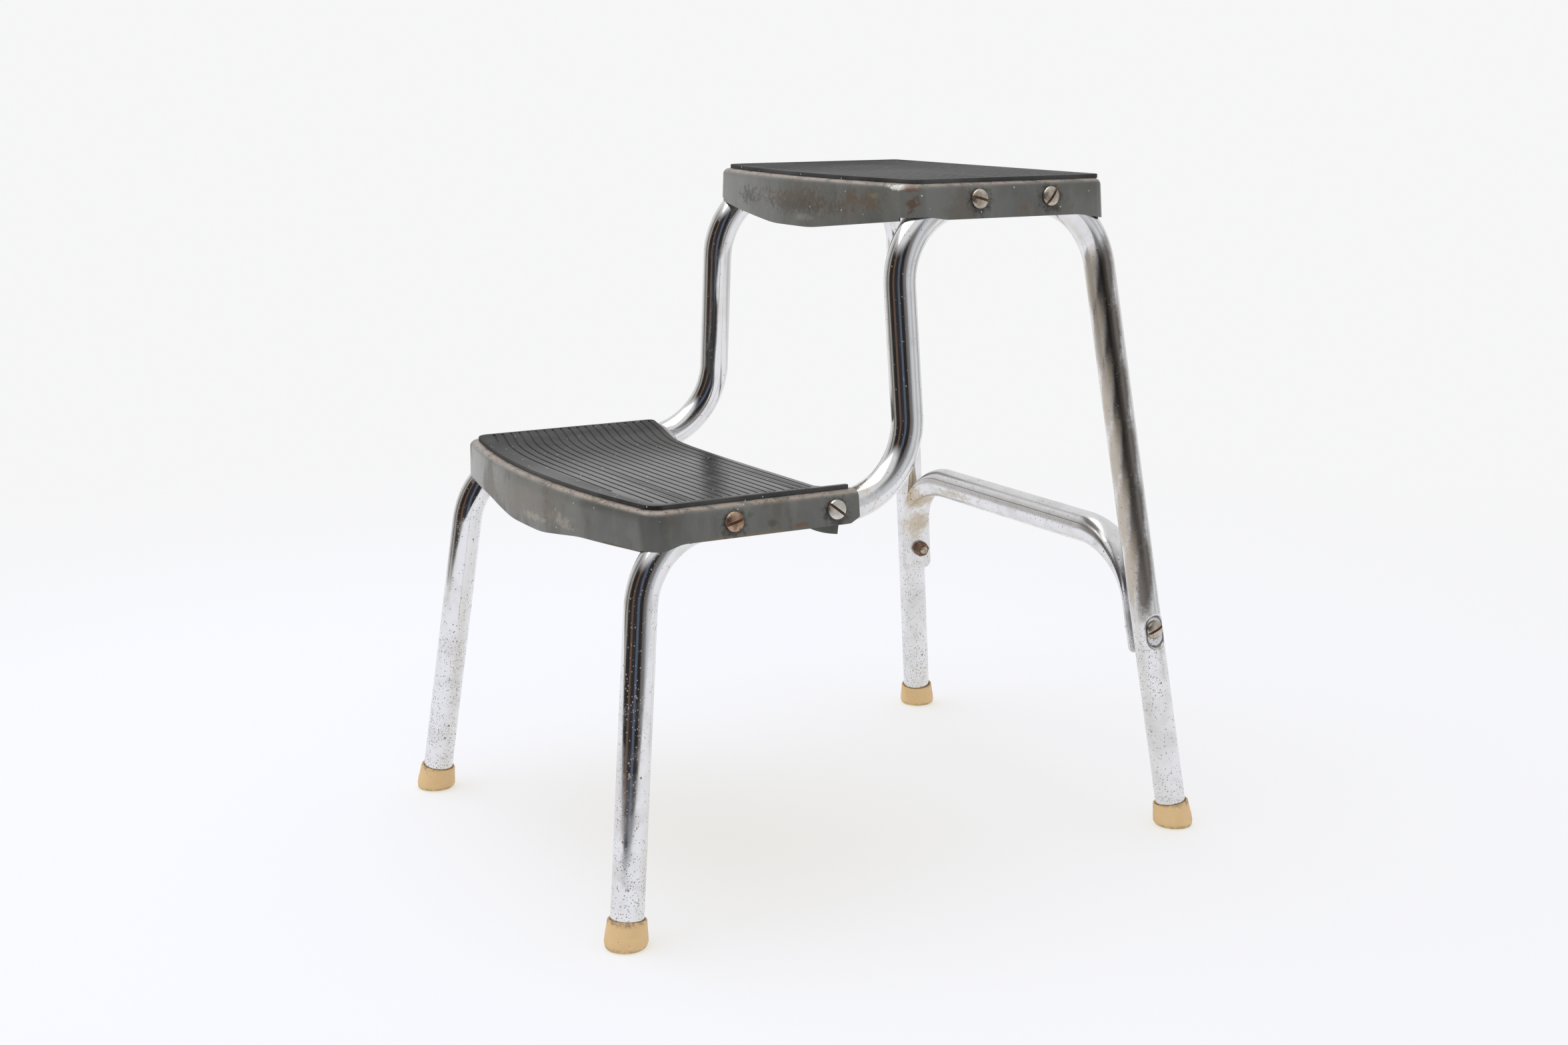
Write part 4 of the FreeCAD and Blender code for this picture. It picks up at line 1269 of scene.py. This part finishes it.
def screwMesh(seat, axis, reference, turn, grip, flatHead):
    v = screwValues
    r, rim, top, shank = v["headRadius"], v["rim"], v["height"], v["shankRadius"]
    length = grip + v["nutHeight"] + v["end"]
    profile = [(-length, 0.0), (-length, shank * v["tipRadius"]), (-length + v["tip"], shank)]
    for i in range(int((v["nutHeight"] + v["end"]) / v["thread"])):
        base = -length + v["tip"] + i * v["thread"]
        profile += [(base + 0.35 * v["thread"], shank * v["threadRoot"]), (base + v["thread"], shank)]
    profile += [(0.0, shank), (0.0, r - v["headEdge"]), (v["headEdge"], r), (rim, r)]
    if flatHead:
        profile += [(top * rise, r * share) for rise, share in v["flatHead"]]
        top *= v["flatHead"][-1][0]
    else:
        profile += [(rim + (top - rim) * math.sin(angle), r * math.cos(angle))
                    for angle in steps(9, 0.0, math.pi / 2)[1:-1]]
    profile.append((top, 0.0))
    body = latheMesh("screw", seat, axis, reference, profile, 48, 40)
    spin = math.radians(turn)
    lengthways = reference * math.cos(spin) + axis.cross(reference).normalized() * math.sin(spin)
    across = axis.cross(lengthways)
    floor = top - v["slotDepth"]
    corners = [seat + axis * rise + lengthways * (a * v["slotReach"]) + across * (b * v["slotWidth"] / 2)
               for rise in (floor, top + 0.002) for a, b in ((-1, -1), (1, -1), (1, 1), (-1, 1))]
    made = cutMesh(body, meshOf("slot", corners, ringFaces(2, 4)))
    finishMesh(made, 38)
    flags = made.attributes.new("inSlot", "INT", "FACE")
    for polygon in made.polygons:
        offset = polygon.center - seat
        height = offset.dot(axis)
        inside = abs(offset.dot(across)) < v["slotWidth"] / 2 + 0.00002
        wall = polygon.normal.dot(axis) < 0.3 or height < floor + 0.0001
        flags.data[polygon.index].value = int(inside and wall and height > floor - 0.0002)
    return made


def nutMesh(seat, axis, reference):
    v = screwValues
    half, height, sides = v["nutAcross"] / 2, v["nutHeight"], v["nutSides"]
    side = axis.cross(reference).normalized()
    bore = v["shankRadius"] * 1.01
    flat = half * v["nutFlat"]
    chamfer = math.tan(math.radians(v["nutChamfer"]))

    def hexRadius(angle):
        return half / math.cos((angle % (math.pi / 3)) - math.pi / 6)

    def drop(angle):
        return (hexRadius(angle) - flat) * chamfer

    # height and radius of each ring from the bore's lower end round to its upper end
    shape = ((0.0, bore), (0.0, flat), (drop, hexRadius), (lambda angle: height - drop(angle), hexRadius),
             (height, flat), (height, bore + 0.0003), (height - 0.0004, bore))
    points = []
    for rise, radius in shape:
        for i in range(sides):
            angle = 2 * math.pi * i / sides
            level, reach = (item(angle) if callable(item) else item for item in (rise, radius))
            points.append(seat + axis * level + (reference * math.cos(angle) + side * math.sin(angle)) * reach)
    faces = ringFaces(len(shape), sides, False)
    last = (len(shape) - 1) * sides
    faces += [(last + i, last + (i + 1) % sides, (i + 1) % sides, i) for i in range(sides)]
    return meshOf("nut", points, faces, 20)


def fastenerPair(place, node, headSeat, nutSeat, axis, reference, turn, grip, right, flatHead=False):
    # a screw and its nut on the right, mirrored to the left
    screw = screwMesh(headSeat, axis, reference, turn, grip, flatHead)
    addPair(place + "Screw", screw, (right, slotShadeAndGrime), (screwSteel, slotShadeAndGrime), "screw_steel", node + "_screw")
    nut = nutMesh(nutSeat, axis * -1, reference)
    addPair(place + "Nut", nut, (nutSteel,), (nutSteel,), "nut_steel", node + "_nut")


radius, sheet = stool["tubeRadius"], stool["sheet"]
steels = (screwCopper, screwPale, screwSteel, screwSteel)
for (tread, end, back, z), turn, steel in zip(treadScrews, screwValues["turns"], steels):
    point = framePoint(back, z)
    fastenerPair(tread + end, tread + "_tread_" + end.lower(), point + outward * (radius + sheet),
                 point - outward * radius, outward, alongAxis, turn, 2 * radius + sheet, steel, steel == screwPale)
seatDepth = radius - frameValues["dimpleDepth"]
strap = 2 * braceValues["strapHalfThick"]
fastenerPair("brace", "brace", braceScrewPoint + braceAxis * seatDepth, braceScrewPoint - braceAxis * (radius + strap),
             braceAxis, legAcross, screwValues["braceTurn"], seatDepth + radius + strap, screwSteel)
print("screws and nuts made")

# rubber feet
capValues = {
    "profile": ((0.0, 0.0), (0.0, 0.0120), (0.0003, 0.0130), (0.0012, 0.01375), (0.0036, 0.0145), (0.0070, 0.0143),
                (0.0110, 0.0138), (0.0150, 0.0133), (0.0176, 0.01305), (0.0183, 0.0127), (0.0184, 0.0122),
                (0.0181, 0.0115), (0.0172, 0.0112), (0.0050, 0.0112), (0.0050, 0.0)),
    # below this height the cap's outside leans from level rings to rings square to the leg
    "shear": 0.009,
    "outsidePoints": 10,
    "sides": 64,
}


def capMesh(floorPoint, axis):
    v = capValues
    reference = axis.cross(alongAxis).normalized()
    side = axis.cross(reference).normalized()
    points = []
    for n, (rise, radius) in enumerate(v["profile"]):
        share = 1.0 - smooth(rise / v["shear"]) if n < v["outsidePoints"] else 0.0
        for out in around(Vector(), reference, side, radius, v["sides"]):
            points.append(floorPoint + out + axis * (-out.z / axis.z * share + rise))
    return meshOf("foot", points, ringFaces(len(v["profile"]), v["sides"]), 50)


for end, point, axis in (("front", frontFoot, frontLegAxis), ("rear", rearFoot, rearLegAxis)):
    addPair("foot" + end.capitalize(), capMesh(point, axis), (tanRubber,), (tanRubber,), "tan_rubber", "foot_" + end)
print("feet made")

# floor, background, light and camera
studioValues = {
    "cameraPlace": (1.32548, -0.7541, 0.55729),
    "azimuth": 60.635,
    "elevation": 12.284,
    "roll": -0.095,
    "lens": 47.94,
    "shiftX": -0.00067,
    "shiftY": -0.00247,
    "background": (0.925, 0.925, 0.930),
    "floor": (0.28, 0.31, 0.46),
    "worldLight": 0.80,
    # added to the lit floor, so that shadows stay pale
    "shadowless": (0.62, 0.59, 0.46),
    "floorFades": (0.55, 1.6),
    "floorHeight": -0.0003,
    "floorReach": 30.0,
    "softboxPlace": (-0.4, -0.6, 2.6),
    "softboxTarget": (0.0, 0.0, 0.2),
    "softboxSize": 2.4,
    "softboxPower": 36.0,
    # the dark side of the room, seen only by reflections: angles from the camera to the image's right, in degrees
    "roomFrom": -128.0,
    "roomTo": 170.0,
    "roomMiddle": -25.0,
    "roomStart": 0.97,
    "roomRise": (0.50, 80.0, 1.2),
    "roomFlat": 1.40,
    "roomFade": 0.12,
    "roomFloor": 0.0005,
    "roomEnd": 4.0,
    "roomSteps": 100,
    "roomWobble": (2.5, 9.0),
    "roomHeight": 2.4,
    "roomTop": 4.2,
    "roomPale": (0.80, 0.80, 0.80),
    "roomColours": (
        (-128.0, (0.62, 0.62, 0.62)), (-112.0, (0.55, 0.53, 0.50)), (-102.0, (0.10, 0.09, 0.08)),
        (-94.0, (0.38, 0.36, 0.33)), (-86.0, (0.36, 0.32, 0.28)), (-78.0, (0.03, 0.03, 0.03)),
        (-57.0, (0.02, 0.02, 0.02)), (-50.0, (0.16, 0.09, 0.06)), (-44.0, (0.15, 0.09, 0.06)),
        (-38.0, (0.03, 0.03, 0.03)), (-20.0, (0.03, 0.03, 0.04)), (-14.0, (0.11, 0.13, 0.17)),
        (-6.0, (0.10, 0.12, 0.16)), (0.0, (0.02, 0.02, 0.02)), (16.0, (0.03, 0.025, 0.025)),
        (22.0, (0.16, 0.13, 0.11)), (30.0, (0.18, 0.18, 0.19)), (38.0, (0.22, 0.22, 0.23)),
        (48.0, (0.55, 0.56, 0.58)), (62.0, (0.72, 0.73, 0.75)), (76.0, (0.50, 0.51, 0.53)),
        (92.0, (0.80, 0.80, 0.80)), (108.0, (0.55, 0.55, 0.56)), (130.0, (0.78, 0.78, 0.78)),
        (170.0, (0.80, 0.80, 0.80)),
    ),
}
towardCamera = Vector((math.sin(math.radians(studioValues["azimuth"])),
                       -math.cos(math.radians(studioValues["azimuth"])), 0.0))


def addStage(name, mesh, material):
    item = linked(name, mesh)
    mesh.materials.append(material)
    return item


def emptied(block):
    # a world's or a material's node tree without its nodes
    block.use_nodes = True
    block.node_tree.nodes.clear()
    return block, block.node_tree


def shining(tree, colour, kind="ShaderNodeEmission", strength=1.0):
    return put(tree, kind, {"Color": (*colour, 1.0) if isinstance(colour, tuple) else colour,
                            "Strength": strength}).outputs[0]


def mixShader(tree, factor, a, b):
    return put(tree, "ShaderNodeMixShader", {0: factor, 1: a, 2: b}).outputs[0]


def floorFinish():
    # a lit floor that passes into the background's colour further away
    v = studioValues
    material, tree = emptied(bpy.data.materials.new("pale floor"))
    place = put(tree, "ShaderNodeTexCoord").outputs["Object"]
    far = remap(tree, vectorMaths(tree, "LENGTH", place), *v["floorFades"])
    lit = put(tree, "ShaderNodeBsdfDiffuse", {"Color": (*v["floor"], 1.0)}).outputs[0]
    near = put(tree, "ShaderNodeAddShader", {0: lit, 1: shining(tree, v["shadowless"])}).outputs[0]
    put(tree, "ShaderNodeOutputMaterial", {0: mixShader(tree, far, near, shining(tree, v["background"]))})
    return material


def buildWorld():
    v = studioValues
    world, tree = emptied(bpy.data.worlds.new("studio"))
    bpy.context.scene.world = world
    ray = put(tree, "ShaderNodeLightPath").outputs
    seen = shining(tree, v["background"], "ShaderNodeBackground")
    light = shining(tree, (1.0, 1.0, 1.0), "ShaderNodeBackground", v["worldLight"])
    shown = highest(tree, ray["Is Camera Ray"], ray["Is Transmission Ray"])
    put(tree, "ShaderNodeOutputWorld", {0: mixShader(tree, shown, light, seen)})


def buildStage():
    v = studioValues
    far = v["floorReach"]
    corners = [(x, y, v["floorHeight"]) for x, y in ((-far, -far), (far, -far), (far, far), (-far, far))]
    addStage("floor", meshOf("floor", corners, [(0, 1, 2, 3)]), floorFinish())
    across = Vector((-towardCamera.y, towardCamera.x, 0.0))
    rise, span, power = v["roomRise"]
    low, end, count = v["roomFloor"], v["roomEnd"], v["roomSteps"]
    points, depths = [], []
    for degrees in steps(count, v["roomFrom"], v["roomTo"]):
        angle = math.radians(degrees)
        ray = towardCamera * math.cos(angle) + across * math.sin(angle)
        start = min(v["roomFlat"], v["roomStart"] + rise * (abs(degrees - v["roomMiddle"]) / span) ** power)
        for distance, height, depth in ((start, low, 0.0), (start + v["roomFade"], low, 1.0), (end, low, 1.0),
                                        (end, v["roomHeight"], 1.0), (end, v["roomTop"], 0.0)):
            points.append(ray * distance + upAxis * height)
            depths.append(depth)
    faces = [(5 * i + k, 5 * i + 5 + k, 5 * i + 6 + k, 5 * i + 1 + k) for i in range(count) for k in range(4)]
    mesh = meshOf("dark room", points, faces)
    setLevels(mesh, "depth", depths)
    room = addStage("darkRoom", mesh, roomFinish(across))
    room.visible_camera = False
    room.visible_diffuse = False
    room.visible_shadow = False
    room.visible_transmission = False


def roomFinish(across):
    # colours by the direction seen from the stool, paler towards the room's upper and inner ends
    v = studioValues
    material, tree = emptied(bpy.data.materials.new("dark room"))
    place = put(tree, "ShaderNodeTexCoord").outputs["Object"]
    ahead = vectorMaths(tree, "DOT_PRODUCT", place, tuple(towardCamera))
    aside = vectorMaths(tree, "DOT_PRODUCT", place, tuple(across))
    degrees = times(tree, maths(tree, "ARCTAN2", aside, ahead), math.degrees(1.0))
    scale, reach = v["roomWobble"]
    degrees = plus(tree, degrees, times(tree, minus(tree, noiseOf(tree, place, scale, 2.0), 0.5), reach))
    ramp = put(tree, "ShaderNodeValToRGB", {0: remap(tree, degrees, v["roomFrom"], v["roomTo"], kind="LINEAR")})
    stops = ramp.color_ramp.elements
    for n, (angle, shade) in enumerate(v["roomColours"]):
        share = (angle - v["roomFrom"]) / (v["roomTo"] - v["roomFrom"])
        stop = stops[n] if n < 2 else stops.new(share)
        stop.position = share
        stop.color = (*shade, 1.0)
    colour = mixColour(tree, remap(tree, attribute(tree, "depth"), 0.0, 1.0), v["roomPale"], ramp.outputs[0])
    put(tree, "ShaderNodeOutputMaterial", {0: shining(tree, colour)})
    return material


def addSoftbox():
    v = studioValues
    lamp = bpy.data.lights.new("topSoftbox", "AREA")
    lamp.shape = "RECTANGLE"
    lamp.size = lamp.size_y = v["softboxSize"]
    lamp.energy = v["softboxPower"]
    item = linked("topSoftbox", lamp)
    item.location = v["softboxPlace"]
    toTarget = Vector(v["softboxTarget"]) - Vector(v["softboxPlace"])
    item.rotation_euler = toTarget.to_track_quat("-Z", "Y").to_euler()


def buildCamera():
    v = studioValues
    az, el, roll = (math.radians(v[k]) for k in ("azimuth", "elevation", "roll"))
    forward = Vector((-math.sin(az) * math.cos(el), math.cos(az) * math.cos(el), -math.sin(el)))
    right = Vector((math.cos(az), math.sin(az), 0.0))
    up = right.cross(forward)
    turnedRight = right * math.cos(roll) + up * math.sin(roll)
    turnedUp = up * math.cos(roll) - right * math.sin(roll)
    lens = bpy.data.cameras.new("camera")
    lens.lens = v["lens"]
    lens.sensor_width = 36.0
    lens.shift_x = v["shiftX"]
    lens.shift_y = v["shiftY"]
    lens.clip_start = 0.05
    lens.clip_end = 100.0
    camera = linked("camera", lens)
    axes = Matrix((turnedRight, turnedUp, -forward)).transposed()
    camera.matrix_world = Matrix.Translation(v["cameraPlace"]) @ axes.to_4x4()
    bpy.context.scene.camera = camera


buildWorld()
buildStage()
addSoftbox()
buildCamera()
bpy.context.scene.view_settings.view_transform = "Standard"
print("studio made")
